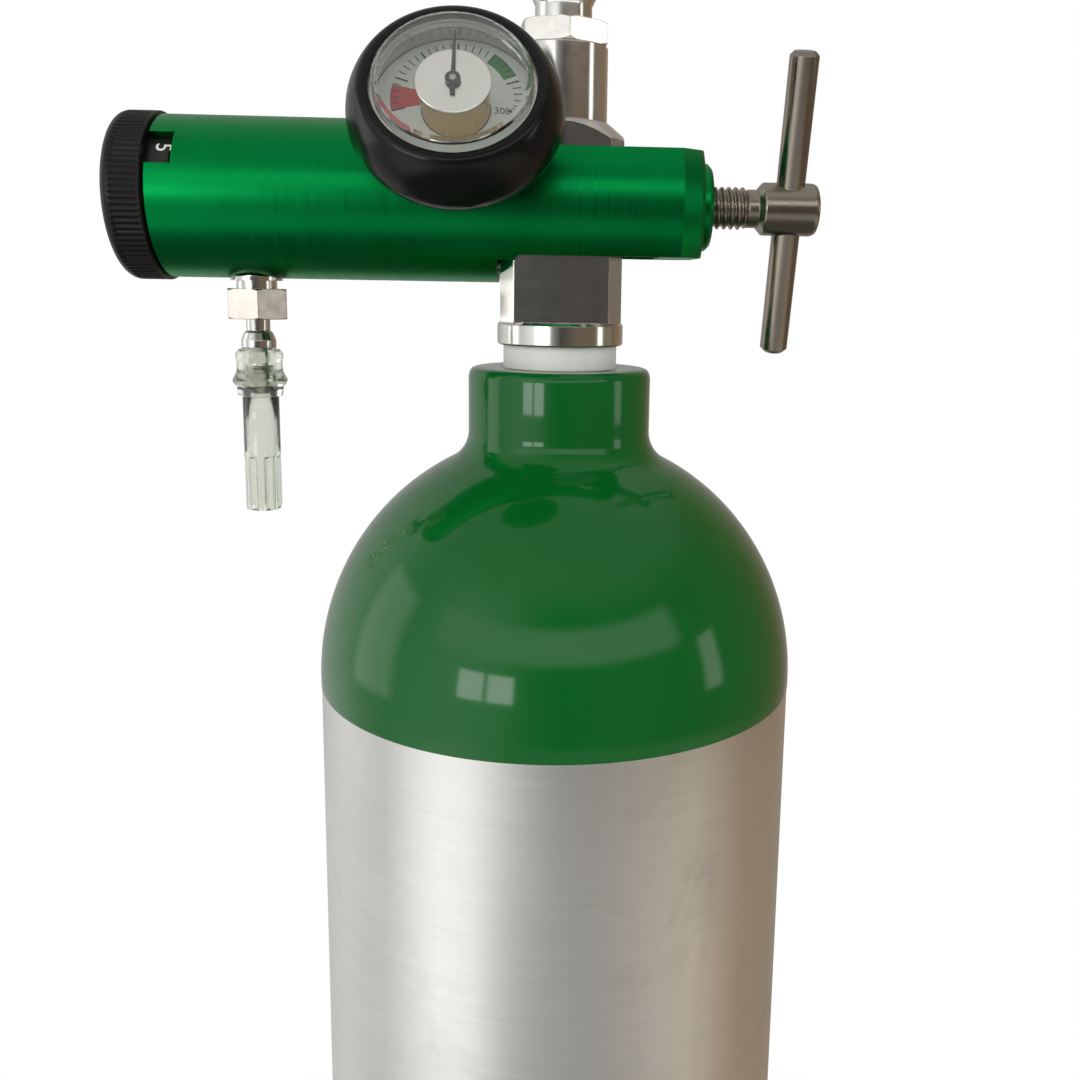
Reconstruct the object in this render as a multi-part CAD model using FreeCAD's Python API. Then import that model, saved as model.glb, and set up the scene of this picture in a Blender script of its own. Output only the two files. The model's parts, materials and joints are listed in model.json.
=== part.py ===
import FreeCAD, Part
import math
import os

# Portable aluminium oxygen cylinder with a post valve and a click-dial flow regulator.
# Millimetres. Origin: centre of the flat base. +Z: up the cylinder. +X: along the
# regulator barrel towards its tee handle. The gauge looks towards -Y and up.

# ------------------------------------------------------------------ cylinder shell
SHELL_RADIUS = 55.6
SHELL_HEIGHT = 419.0
SHELL_WALL = 6.4
SHELL_BASE = 10.0
BASE_CORNER = 12.0
BASE_CORNER_INSIDE = 25.0
NECK_RADIUS = 21.0
NECK_FILLET = 8.0
NECK_BORE = 9.6
GLAND_RADIUS = 11.6
GLAND_DEPTH = 2.6
NECK_TO_BARREL = 36.9
BARREL_Z = SHELL_HEIGHT + NECK_TO_BARREL
SHOULDER_Z = BARREL_Z - 108.0

# ------------------------------------------------------------------ post valve
# Heights below are measured from the barrel's axis.
INLET_RADIUS = 9.4
INLET_LENGTH = 21.5
SPACER_RADIUS = 13.1
FLANGE_RADIUS = 14.5
FLANGE_BOTTOM = -31.6
FLANGE_TOP = -26.4
POST_WIDTH = 27.0
POST_DEPTH = 22.2
POST_CHAMFER = 3.0
CONE_BOTTOM = 12.6
CONE_TOP = 17.6
COLUMN_RADIUS = 10.0
COLUMN_TOP = 34.0
VALVE_BORE = 5.5
SEAT_HEIGHT = -6.0
VALVE_LIFT = 1.30
PORT_RADIUS = 2.0
PORT_MOUTH = 3.2
INDEX_CIRCLE = 14.29
INDEX_ANGLE = 18.0
INDEX_PIN_RADIUS = 2.0
SAFETY_HEIGHT = -18.5
SAFETY_RADIUS = 4.0
SPINDLE_RADIUS = 3.2
HEAD_RADIUS = 6.3
EAR_RADIUS = 8.0
SLOT_BOTTOM = 42.3
SLOT_WIDTH = 7.2
NUT_TOP = 38.9
NUT_CORNER = 10.5
NUT_TURN = 7.0
TOGGLE_PIVOT = 50.0
TOGGLE_PIN_RADIUS = 1.6
PADDLE_START = 9.4
PADDLE_TOP = 33.0
PADDLE_WIDTH = 14.0
PADDLE_THICKNESS = 6.4
RUNNING = 0.08

# ------------------------------------------------------------------ regulator barrel
BARREL_RADIUS = 17.67
BARREL_LEFT = -87.5
BARREL_CONE = 26.0
BARREL_RIGHT = 31.0
BARREL_END_RADIUS = 14.4
BOSS_RADIUS = 9.75
BOSS_RIGHT = 33.7
WINDOW_LEFT = -14.2
WINDOW_RIGHT = 22.0
WINDOW_HALF = 12.2
FLAT_HEIGHT = 11.6
FLAT_LEFT = -9.5
STACK_BORE = 14.6
PISTON_BORE = 13.6
STACK_END = -60.0
PISTON_END = -38.0
DRUM_BORE = 15.8
DRUM_BORE_END = -81.6
STEM_BORE = 3.3
SEAT_POCKET = 3.0
SEAT_LEFT = -33.0
SEAT_RIGHT = -31.2
NIPPLE_LEFT = -20.0
SEAL_RADIUS = 7.6
SEAL_LEFT = -16.2
POST_FACE = -POST_WIDTH / 2.0
NOTCH_RIGHT = -81.8
NOTCH_WIDTH = 8.0
NOTCH_ANGLE = 32.0
OUTLET_X = -69.0
OUTLET_RADIUS = 4.45
OUTLET_NUT_TURN = 44.4

# ------------------------------------------------------------------ yoke screw
SCREW_RADIUS = 4.75
SCREW_CORE = 4.05
SCREW_PITCH = 1.5875
SCREW_THREAD_END = 42.5
SCREW_HEAD_LEFT = 44.8
SCREW_HEAD_RIGHT = 58.6
SCREW_HEAD_RADIUS = 5.95
TEE_X = 52.1
TEE_RADIUS = 3.25
TEE_LENGTH = 68.7
TEE_LEAN = 17.3

# ------------------------------------------------------------------ flow selector
KNOB_RADIUS = 18.3
KNOB_LEFT = -96.5
KNOB_RIGHT = -87.7
KNOB_RIBS = 86
KNOB_RIB_DEPTH = 0.35
POSITIONS = 12
ORIFICE_CIRCLE = 8.0
ROTOR_RADIUS = 11.0
ROTOR_LEFT = -76.4
ROTOR_RIGHT = -62.8
SLEEVE_LEFT = -81.0
PLATE_LEFT = -62.5
SHAFT_RADIUS = 4.0
SHAFT_LEFT = -91.0
DETENT_CIRCLE = 8.5

# ------------------------------------------------------------------ pressure gauge
# Distances along the gauge's axis are measured from the barrel's axis.
GAUGE_X = -21.5
GAUGE_RISE = 29.6
CASE_RADIUS = 17.4
CASE_WALL = 0.8
CASE_BACK = 25.0
CASE_FRONT = 37.6
BOOT_RADIUS = 21.8
BOOT_RIM_RADIUS = 18.8
BOOT_OPENING = 16.2
BOOT_BACK = 22.4
BOOT_WAIST = 14.0
BOOT_FRONT = 41.1
DIAL_LEVEL = 32.0
GAUGE_DRUM_RADIUS = 6.7
DRUM_TOP = 40.0
LENS_INSIDE = 41.9

X_AXIS = FreeCAD.Vector(1, 0, 0)
Y_AXIS = FreeCAD.Vector(0, 1, 0)
Z_AXIS = FreeCAD.Vector(0, 0, 1)
ORIGIN = FreeCAD.Vector(0, 0, 0)


# ------------------------------------------------------------------ helpers
def turned(points):
    """Solid of revolution about Z from (radius, height) corners joined by straight lines."""
    corners = [FreeCAD.Vector(radius, 0, height) for radius, height in points]
    face = Part.Face(Part.makePolygon(corners + corners[:1]))
    return face.revolve(ORIGIN, Z_AXIS, 360)


def tube(outer, inner, bottom, top):
    """Straight tube about Z."""
    return turned([(inner, bottom), (outer, bottom), (outer, top), (inner, top)])


def rod(radius, bottom, top):
    """Plain round rod about Z."""
    return Part.makeCylinder(radius, top - bottom, FreeCAD.Vector(0, 0, bottom), Z_AXIS)


def block(low, high):
    """Box between two corners."""
    size = [b - a for a, b in zip(low, high)]
    return Part.makeBox(size[0], size[1], size[2], FreeCAD.Vector(*low))


def o_ring(ring_radius, cord_radius, height):
    """Rubber ring about Z."""
    return Part.makeTorus(ring_radius, cord_radius, FreeCAD.Vector(0, 0, height), Z_AXIS)


def hexagon(corner_radius, bottom, top, chamfer):
    """Hexagonal prism about Z with its corners turned off at both ends."""
    corners = []
    for index in range(7):
        angle = math.radians(60 * index)
        across = corner_radius * math.cos(angle)
        along = corner_radius * math.sin(angle)
        corners.append(FreeCAD.Vector(across, along, bottom))
    prism = Part.Face(Part.makePolygon(corners)).extrude(FreeCAD.Vector(0, 0, top - bottom))
    inner = corner_radius - chamfer
    rise = chamfer * math.tan(math.radians(30))
    envelope = turned([(0, bottom), (inner, bottom), (corner_radius, bottom + rise),
                       (corner_radius, top - rise), (inner, top), (0, top)])
    return prism.common(envelope)


def coil(mean_radius, wire_radius, bottom, top, turns):
    """Open-ended helical coil about Z whose wire stays between two heights."""
    height = top - bottom - 2 * wire_radius
    helix = Part.makeLongHelix(height / turns, height, mean_radius)
    start = FreeCAD.Vector(mean_radius, 0, 0)
    tangent = FreeCAD.Vector(0, 2 * math.pi * mean_radius, height / turns)
    section = Part.Wire(Part.Circle(start, tangent, wire_radius).toShape())
    solid = Part.Wire(helix).makePipeShell([section], True, True)
    return solid.translated(FreeCAD.Vector(0, 0, bottom + wire_radius))


def spread(shape, count, axis=Z_AXIS):
    """Copies of a shape spaced evenly about an axis through the origin."""
    copies = []
    for index in range(count):
        copies.append(shape.rotated(ORIGIN, axis, 360.0 * index / count))
    return copies


def on_valve(shape):
    """From the valve's frame, whose zero height is the barrel's axis, to the part's frame."""
    return shape.translated(FreeCAD.Vector(0, 0, BARREL_Z))


def on_barrel(shape):
    """Lay a shape made about Z along the barrel: its height becomes X."""
    return on_valve(shape.rotated(ORIGIN, Y_AXIS, 90))


def on_gauge(shape):
    """Stand a shape made about Z on the gauge's axis; its Y becomes the dial's up."""
    tilted = shape.rotated(ORIGIN, X_AXIS, 90 - GAUGE_RISE)
    return tilted.translated(FreeCAD.Vector(GAUGE_X, 0, BARREL_Z))


def below_barrel(shape):
    """Hang a shape made about Z under the barrel at the outlet."""
    return on_valve(shape.translated(FreeCAD.Vector(OUTLET_X, 0, 0)))


def arc(start, middle, end):
    """Arc through three (radius, height) points in the XZ plane."""
    points = [FreeCAD.Vector(radius, 0, height) for radius, height in (start, middle, end)]
    return Part.Arc(*points).toShape()


def line(start, end):
    """Straight edge between two (radius, height) points in the XZ plane."""
    return Part.makeLine(FreeCAD.Vector(start[0], 0, start[1]), FreeCAD.Vector(end[0], 0, end[1]))


def lines(points):
    """Straight edges through a run of (radius, height) points."""
    return [line(first, second) for first, second in zip(points, points[1:])]


def on_circle(centre, radius, degrees):
    """(radius, height) point on a circle in the profile plane."""
    angle = math.radians(degrees)
    return (centre[0] + radius * math.cos(angle), centre[1] + radius * math.sin(angle))


def revolved(edges):
    """Solid of revolution about Z from a closed run of profile edges."""
    return Part.Face(Part.Wire(edges)).revolve(ORIGIN, Z_AXIS, 360)


# ------------------------------------------------------------------ cylinder
def cylinder_shell():
    centre = (0.0, SHOULDER_Z)
    blend = (NECK_RADIUS + NECK_FILLET, 0.0)
    reach = SHELL_RADIUS + NECK_FILLET
    blend_height = SHOULDER_Z + math.sqrt(reach ** 2 - blend[0] ** 2)
    blend = (blend[0], blend_height)
    touch_angle = math.degrees(math.atan2(blend_height - SHOULDER_Z, blend[0]))
    touch = on_circle(centre, SHELL_RADIUS, touch_angle)
    blend_middle = on_circle(blend, NECK_FILLET, (touch_angle + 360.0) / 2.0)
    corner = (SHELL_RADIUS - BASE_CORNER, BASE_CORNER)
    inside = SHELL_RADIUS - SHELL_WALL
    inner_corner = (inside - BASE_CORNER_INSIDE, SHELL_BASE + BASE_CORNER_INSIDE)
    mouth_angle = math.degrees(math.acos(NECK_BORE / inside))
    mouth = on_circle(centre, inside, mouth_angle)
    gland_bottom = SHELL_HEIGHT - GLAND_DEPTH
    edges = lines([(0, 0), (corner[0], 0)])
    edges.append(arc((corner[0], 0), on_circle(corner, BASE_CORNER, -45), (SHELL_RADIUS, corner[1])))
    edges += lines([(SHELL_RADIUS, corner[1]), (SHELL_RADIUS, SHOULDER_Z)])
    edges.append(arc((SHELL_RADIUS, SHOULDER_Z), on_circle(centre, SHELL_RADIUS, touch_angle / 2), touch))
    edges.append(arc(touch, blend_middle, (NECK_RADIUS, blend_height)))
    edges += lines([(NECK_RADIUS, blend_height), (NECK_RADIUS, SHELL_HEIGHT - 1.2),
                    (NECK_RADIUS - 1.2, SHELL_HEIGHT), (GLAND_RADIUS, SHELL_HEIGHT),
                    (GLAND_RADIUS, gland_bottom), (NECK_BORE, gland_bottom), mouth])
    edges.append(arc(mouth, on_circle(centre, inside, mouth_angle / 2), (inside, SHOULDER_Z)))
    edges += lines([(inside, SHOULDER_Z), (inside, inner_corner[1])])
    inner_middle = on_circle(inner_corner, BASE_CORNER_INSIDE, -45)
    edges.append(arc((inside, inner_corner[1]), inner_middle, (inner_corner[0], SHELL_BASE)))
    edges += lines([(inner_corner[0], SHELL_BASE), (0, SHELL_BASE), (0, 0)])
    return revolved(edges)


def neck_o_ring():
    return on_valve(o_ring(10.5, 1.05, -NECK_TO_BARREL - 1.4))


def neck_spacer():
    return on_valve(tube(SPACER_RADIUS, NECK_BORE, -NECK_TO_BARREL, FLANGE_BOTTOM))


# ------------------------------------------------------------------ valve
def index_points():
    """The two index pin centres as (y, height), below the gas port."""
    points = []
    for side in (-1, 1):
        angle = math.radians(side * INDEX_ANGLE)
        points.append((INDEX_CIRCLE * math.sin(angle), -INDEX_CIRCLE * math.cos(angle)))
    return points


def index_rods(radius, left, right):
    rods = []
    for y, height in index_points():
        rods.append(Part.makeCylinder(radius, right - left, FreeCAD.Vector(left, y, height), X_AXIS))
    return rods


def post_block():
    half_width = POST_WIDTH / 2.0
    half_depth = POST_DEPTH / 2.0
    post = block((-half_width, -half_depth, FLANGE_TOP), (half_width, half_depth, CONE_TOP))
    upright = [edge for edge in post.Edges if abs(edge.tangentAt(edge.FirstParameter).z) > 0.9]
    post = post.makeChamfer(POST_CHAMFER, upright)
    envelope = turned([(0, FLANGE_TOP), (16.5, FLANGE_TOP), (16.5, CONE_BOTTOM),
                       (COLUMN_RADIUS + 0.5, CONE_TOP), (0, CONE_TOP)])
    return post.common(envelope)


def valve_body():
    inlet_bottom = -NECK_TO_BARREL - INLET_LENGTH
    spine = turned([(0, inlet_bottom), (INLET_RADIUS - 0.8, inlet_bottom),
                    (INLET_RADIUS, inlet_bottom + 0.8),
                    (INLET_RADIUS, FLANGE_BOTTOM), (FLANGE_RADIUS - 0.4, FLANGE_BOTTOM),
                    (FLANGE_RADIUS, FLANGE_BOTTOM + 0.4), (FLANGE_RADIUS, FLANGE_TOP - 0.6),
                    (FLANGE_RADIUS - 0.6, FLANGE_TOP), (COLUMN_RADIUS, FLANGE_TOP),
                    (COLUMN_RADIUS, COLUMN_TOP - 0.3), (COLUMN_RADIUS - 0.3, COLUMN_TOP), (0, COLUMN_TOP)])
    body = spine.fuse(post_block()).removeSplitter()
    passages = [rod(3.0, inlet_bottom - 1, -12.0), rod(1.6, -13.0, SEAT_HEIGHT + 1)]
    passages.append(rod(VALVE_BORE, SEAT_HEIGHT, COLUMN_TOP + 1))
    port_start = FreeCAD.Vector(POST_FACE - 1, 0, 0)
    passages.append(Part.makeCylinder(PORT_RADIUS, POST_WIDTH / 2.0, port_start, X_AXIS))
    passages.append(Part.makeCylinder(PORT_MOUTH, 4.6, port_start, X_AXIS))
    passages += index_rods(INDEX_PIN_RADIUS + 0.3, POST_FACE - 1, -7.8)
    safety_centre = FreeCAD.Vector(0, 0, SAFETY_HEIGHT)
    passages.append(Part.makeCylinder(1.3, 6.0, safety_centre, Y_AXIS))
    safety_seat = FreeCAD.Vector(0, 4.7, SAFETY_HEIGHT)
    passages.append(Part.makeCylinder(SAFETY_RADIUS, 10.0, safety_seat, Y_AXIS))
    dimple = Part.makeCone(0.6, 4.4, 3.8, FreeCAD.Vector(POST_WIDTH / 2.0 - 3.5, 0, 0), X_AXIS)
    passages.append(dimple)
    return on_valve(body.cut(passages))


def debris_tube():
    return on_valve(tube(2.95, 2.1, -130.0, -48.0))


def burst_disc():
    disc = Part.makeCylinder(SAFETY_RADIUS - 0.1, 0.5, FreeCAD.Vector(0, 4.7, SAFETY_HEIGHT), Y_AXIS)
    return on_valve(disc)


def safety_plug():
    """Slotted plug with a cross vent, screwed into the back of the post."""
    plug = turned([(1.2, 5.2), (SAFETY_RADIUS - 0.1, 5.2), (SAFETY_RADIUS - 0.1, 11.1), (5.0, 11.1),
                   (5.0, 14.2), (4.5, 14.7), (0, 14.7), (0, 12.6), (1.2, 12.6)])
    cross_vent = Part.makeCylinder(0.8, 12, FreeCAD.Vector(-6, 0, 12.0), X_AXIS)
    plug = plug.cut([block((-0.6, -6, 13.4), (0.6, 6, 15)), cross_vent])
    return on_valve(plug.rotated(ORIGIN, X_AXIS, -90).translated(FreeCAD.Vector(0, 0, SAFETY_HEIGHT)))


def seat_disc():
    bottom = SEAT_HEIGHT + VALVE_LIFT
    return on_valve(rod(3.4, bottom, bottom + 1.7))


def seat_plug():
    """Lower plug that carries the soft seat and is driven by the spindle's blade."""
    nose = SEAT_HEIGHT + VALVE_LIFT + 0.7
    radius = VALVE_BORE - RUNNING
    plug = turned([(0, nose), (3.9, nose), (3.9, 4.5), (radius, 4.5), (radius, 14.0), (0, 14.0)])
    return on_valve(plug.cut([rod(3.4, nose - 1, nose + 1.0), block((-1.1, -6, 9.2), (1.1, 6, 15))]))


def valve_spindle():
    """Turning spindle: drive blade, collar, shaft and the slotted head that holds the toggle."""
    collar = VALVE_BORE - RUNNING
    spindle = turned([(0, 15.5), (collar, 15.5), (collar, 19.2), (SPINDLE_RADIUS, 19.2),
                      (SPINDLE_RADIUS, 39.3), (HEAD_RADIUS, 39.3), (HEAD_RADIUS, 42.6),
                      (EAR_RADIUS, 46.0), (EAR_RADIUS, 58.0), (0, 58.0)])
    spindle = spindle.fuse(block((-0.95, -4.0, 10.6), (0.95, 4.0, 16.0)))
    ear_round = Part.makeCylinder(EAR_RADIUS, 20, FreeCAD.Vector(-10, 0, TOGGLE_PIVOT), X_AXIS)
    keep = ear_round.fuse(block((-10, -10, 10), (10, 10, TOGGLE_PIVOT)))
    slot = block((-SLOT_WIDTH / 2, -10, SLOT_BOTTOM), (SLOT_WIDTH / 2, 10, 60))
    pin_hole = Part.makeCylinder(TOGGLE_PIN_RADIUS, 20, FreeCAD.Vector(-10, 0, TOGGLE_PIVOT), X_AXIS)
    return on_valve(spindle.common(keep).cut([slot, pin_hole]).removeSplitter())


def spindle_packing():
    return on_valve(tube(VALVE_BORE - 0.05, SPINDLE_RADIUS + RUNNING, 19.3, 22.0))


def stem_nut():
    nut = rod(VALVE_BORE - 0.05, 22.1, COLUMN_TOP + 1)
    head = hexagon(NUT_CORNER, COLUMN_TOP, NUT_TOP, 0.9)
    nut = nut.fuse(head.rotated(ORIGIN, Z_AXIS, NUT_TURN - 30))
    return on_valve(nut.cut(rod(SPINDLE_RADIUS + RUNNING, 20, NUT_TOP + 1)).removeSplitter())


def toggle_lever():
    """Folding lever: a tang in the spindle's slot and a wider paddle above the ears."""
    half = SLOT_WIDTH / 2.0 - 0.1
    pivot = FreeCAD.Vector(-half, 0, TOGGLE_PIVOT)
    tang = Part.makeCylinder(5.8, 2 * half, pivot, X_AXIS)
    tang = tang.fuse(block((-half, -3.6, TOGGLE_PIVOT), (half, 3.6, TOGGLE_PIVOT + PADDLE_START + 1)))
    half_width = PADDLE_WIDTH / 2.0
    crown = TOGGLE_PIVOT + PADDLE_TOP - half_width
    foot = TOGGLE_PIVOT + PADDLE_START
    paddle = block((-half_width, -PADDLE_THICKNESS / 2, foot), (half_width, PADDLE_THICKNESS / 2, crown))
    crown_start = FreeCAD.Vector(0, -PADDLE_THICKNESS / 2, crown)
    crown_round = Part.makeCylinder(half_width, PADDLE_THICKNESS, crown_start, Y_AXIS)
    paddle = paddle.fuse(crown_round).removeSplitter()
    on_face = [edge for edge in paddle.Edges if abs(edge.CenterOfMass.y) > PADDLE_THICKNESS / 2 - 0.01]
    paddle = paddle.makeFillet(1.4, [edge for edge in on_face if edge.CenterOfMass.z > foot + 1])
    lever = tang.fuse(paddle).removeSplitter()
    hole = Part.makeCylinder(TOGGLE_PIN_RADIUS + RUNNING, 20, FreeCAD.Vector(-10, 0, TOGGLE_PIVOT), X_AXIS)
    return on_valve(lever.cut(hole))


def toggle_pin():
    length = 2 * EAR_RADIUS - 0.6
    start = FreeCAD.Vector(-length / 2, 0, TOGGLE_PIVOT)
    return on_valve(Part.makeCylinder(TOGGLE_PIN_RADIUS, length, start, X_AXIS))


# ------------------------------------------------------------------ regulator barrel and yoke
def barrel_flats():
    """The two cutters that mill the yoke's top and bottom flat, each with a sloped run-out."""
    cutters = []
    far = BARREL_RADIUS + 3
    rise = far - FLAT_HEIGHT
    for side in (-1, 1):
        corners = [(FLAT_LEFT, FLAT_HEIGHT), (BARREL_RIGHT + 5, FLAT_HEIGHT), (BARREL_RIGHT + 5, far),
                   (FLAT_LEFT - rise * 0.8, far)]
        points = [FreeCAD.Vector(x, -far, side * height) for x, height in corners]
        face = Part.Face(Part.makePolygon(points + points[:1]))
        cutters.append(face.extrude(FreeCAD.Vector(0, 2 * far, 0)))
    return cutters


def number_notch():
    """Cutter for the notch at the barrel's left end that shows the flow number."""
    cutter = block((BARREL_LEFT - 1, -22, -NOTCH_WIDTH / 2), (NOTCH_RIGHT, -12, NOTCH_WIDTH / 2))
    return cutter.rotated(ORIGIN, X_AXIS, -NOTCH_ANGLE)


def regulator_barrel():
    skin = turned([(0, BARREL_LEFT), (BARREL_RADIUS - 0.4, BARREL_LEFT), (BARREL_RADIUS, BARREL_LEFT + 0.4),
                   (BARREL_RADIUS, BARREL_CONE), (BARREL_END_RADIUS + 0.9, BARREL_RIGHT - 0.8),
                   (BARREL_END_RADIUS, BARREL_RIGHT), (BOSS_RADIUS, BARREL_RIGHT),
                   (BOSS_RADIUS, BOSS_RIGHT - 0.9), (BOSS_RADIUS - 0.9, BOSS_RIGHT), (0, BOSS_RIGHT)])
    bores = [rod(DRUM_BORE, BARREL_LEFT - 1, DRUM_BORE_END), rod(STACK_BORE, BARREL_LEFT - 1, STACK_END)]
    bores += [tube(15.5, 13.0, -82.6, -81.3), rod(PISTON_BORE, STACK_END - 1, PISTON_END)]
    bores += [rod(STEM_BORE, PISTON_END - 1, SEAT_LEFT), rod(SEAT_POCKET, SEAT_LEFT - 1, SEAT_RIGHT)]
    bores += [rod(1.4, SEAT_RIGHT - 1, NIPPLE_LEFT + 1), rod(4.0, NIPPLE_LEFT, WINDOW_LEFT + 1)]
    bores.append(rod(SEAL_RADIUS + 0.1, SEAL_LEFT, WINDOW_LEFT + 1))
    bores.append(rod(SCREW_RADIUS + 0.1, WINDOW_RIGHT - 1, 40))
    barrel = skin.cut(bores).rotated(ORIGIN, Y_AXIS, 90)
    window = block((WINDOW_LEFT, -WINDOW_HALF, -20), (WINDOW_RIGHT, WINDOW_HALF, 20))
    outlet = rod(OUTLET_RADIUS + 0.05, -25, -13).translated(FreeCAD.Vector(OUTLET_X, 0, 0))
    spot_face = rod(5.8, -25, -17.2).translated(FreeCAD.Vector(OUTLET_X, 0, 0))
    vent = Part.makeCylinder(1.0, 20, FreeCAD.Vector(-42.0, 0, 0), Y_AXIS)
    gauge_port = rod(1.4, 0, 10).fuse(rod(4.85, 8.7, 25)).rotated(ORIGIN, X_AXIS, 90 - GAUGE_RISE)
    cutters = [window, outlet, spot_face, vent, number_notch()]
    cutters.append(gauge_port.translated(FreeCAD.Vector(GAUGE_X, 0, 0)))
    cutters += barrel_flats()
    cutters += index_rods(INDEX_PIN_RADIUS, NIPPLE_LEFT, WINDOW_LEFT + 1)
    return on_valve(barrel.cut(cutters))


def index_pins():
    pins = []
    for pin in index_rods(INDEX_PIN_RADIUS, NIPPLE_LEFT, -8.6):
        tip = [edge for edge in pin.Edges if abs(edge.CenterOfMass.x + 8.6) < 0.01]
        pins.append(pin.makeChamfer(0.5, tip))
    return on_valve(Part.makeCompound(pins))


def inlet_seal():
    return on_barrel(tube(SEAL_RADIUS, 3.2, SEAL_LEFT, POST_FACE))


def inlet_nipple():
    nipple = turned([(1.1, NIPPLE_LEFT + 3.0), (2.4, NIPPLE_LEFT + 3.0), (2.4, NIPPLE_LEFT),
                     (3.9, NIPPLE_LEFT), (3.9, SEAL_LEFT), (2.9, SEAL_LEFT),
                     (2.9, -11.6), (2.3, -11.0), (1.1, -11.0)])
    return on_barrel(nipple)


def inlet_filter():
    return on_barrel(rod(2.3, NIPPLE_LEFT, NIPPLE_LEFT + 2.9))


def thrust_pad():
    """Swivelling pad whose cone seats in the post's dimple."""
    pad = turned([(0, 11.2), (0.6, 11.2), (3.2, 13.8), (6.0, 13.8), (6.0, 17.0), (5.6, 17.4), (2.98, 17.4),
                  (2.98, 14.5), (0, 14.5)])
    return on_barrel(pad)


def yoke_screw():
    """Clamping screw with its thread grooves and the round head that carries the tee bar."""
    profile = [(0, 14.6), (2.9, 14.6), (2.9, 17.5), (SCREW_CORE, 17.5)]
    start = 18.0
    while start + SCREW_PITCH < SCREW_THREAD_END:
        profile += [(SCREW_CORE, start), (SCREW_RADIUS, start + 0.55), (SCREW_RADIUS, start + 0.85),
                    (SCREW_CORE, start + 1.4)]
        start += SCREW_PITCH
    neck = SCREW_CORE + 0.25
    left = SCREW_HEAD_LEFT
    right = SCREW_HEAD_RIGHT
    profile += [(neck, start), (neck, left), (SCREW_CORE + 0.6, left), (SCREW_HEAD_RADIUS, left + 1.2),
                (SCREW_HEAD_RADIUS, right - 1.4), (SCREW_HEAD_RADIUS - 0.4, right - 0.4),
                (SCREW_HEAD_RADIUS - 1.4, right), (0, right)]
    screw = turned(profile).rotated(ORIGIN, Y_AXIS, 90)
    hole = rod(TEE_RADIUS + 0.02, -10, 10).rotated(ORIGIN, X_AXIS, TEE_LEAN)
    return on_valve(screw.cut(hole.translated(FreeCAD.Vector(TEE_X, 0, 0))))


def tee_bar():
    end = TEE_LENGTH / 2.0
    bar = turned([(0, -end), (TEE_RADIUS - 0.9, -end), (TEE_RADIUS, -end + 0.9), (TEE_RADIUS, end - 0.9),
                  (TEE_RADIUS - 0.9, end), (0, end)])
    leaned = bar.rotated(ORIGIN, X_AXIS, TEE_LEAN)
    return on_valve(leaned.translated(FreeCAD.Vector(TEE_X, 0, 0)))


# ------------------------------------------------------------------ pressure reducer
def piston():
    radius = PISTON_BORE - RUNNING
    stem = STEM_BORE - RUNNING
    body = turned([(0.8, -54.0), (radius, -54.0), (radius, -52.9), (11.95, -52.9), (11.95, -51.1),
                   (radius, -51.1), (radius, -49.5), (stem, -49.5), (stem, -36.9), (2.2, -36.9),
                   (2.2, -35.7), (stem, -35.7), (stem, -34.2), (1.4, -33.6), (0.8, -33.6)])
    return on_barrel(body)


def piston_o_rings():
    rings = [o_ring(12.76, 0.78, -52.0), o_ring(2.72, 0.48, -36.3)]
    return on_barrel(Part.makeCompound(rings))


def piston_spring():
    return on_barrel(coil(8.6, 1.1, -49.4, -38.1, 3.5))


def regulator_seat():
    return on_barrel(tube(SEAT_POCKET - 0.05, 0.7, SEAT_LEFT, SEAT_RIGHT))


# ------------------------------------------------------------------ flow selector
def orifice_plate():
    """Fixed plate with one metering hole for each flow, and a blank at the off position."""
    plate = turned([(0, PLATE_LEFT), (14.5, PLATE_LEFT), (14.5, -61.9), (13.4, -61.9), (13.4, -60.7),
                    (14.5, -60.7), (14.5, STACK_END), (0, STACK_END)])
    holes = []
    for index in range(1, POSITIONS):
        hole = rod(0.25 + 0.05 * index, PLATE_LEFT - 1, STACK_END + 1)
        hole = hole.translated(FreeCAD.Vector(ORIFICE_CIRCLE, 0, 0))
        holes.append(hole.rotated(ORIGIN, Z_AXIS, 360.0 * (index - 7) / POSITIONS))
    return on_barrel(plate.cut(holes))


def flow_sleeve():
    """Fixed sleeve in which the rotor turns; its left wall holds the detent."""
    grooves = (-73.8, -64.6)
    sleeve = turned([(SHAFT_RADIUS + RUNNING, SLEEVE_LEFT), (14.5, SLEEVE_LEFT), (14.5, PLATE_LEFT),
                     (ROTOR_RADIUS + RUNNING, PLATE_LEFT), (ROTOR_RADIUS + RUNNING, ROTOR_LEFT - 0.1),
                     (SHAFT_RADIUS + RUNNING, ROTOR_LEFT - 0.1)])
    cutters = [tube(15, 13.3, middle - 0.7, middle + 0.7) for middle in grooves]
    cutters.append(Part.makeCylinder(2.6, 16, FreeCAD.Vector(0, 0, OUTLET_X), X_AXIS))
    cutters.append(rod(1.33, -80.6, -76.0).translated(FreeCAD.Vector(0, DETENT_CIRCLE, 0)))
    return on_barrel(sleeve.cut(cutters))


def stack_o_rings():
    """Rubber rings around the orifice plate and the sleeve."""
    rings = [o_ring(14.0, 0.58, -61.3), o_ring(13.95, 0.62, -73.8), o_ring(13.95, 0.62, -64.6)]
    return on_barrel(Part.makeCompound(rings))


def retaining_ring():
    """Open snap ring that holds the sleeve in the barrel."""
    ring = tube(15.4, 12.6, -82.4, -81.4)
    return on_barrel(ring.cut(block((8, -3.0, -84), (17, 3.0, -80))))


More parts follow.
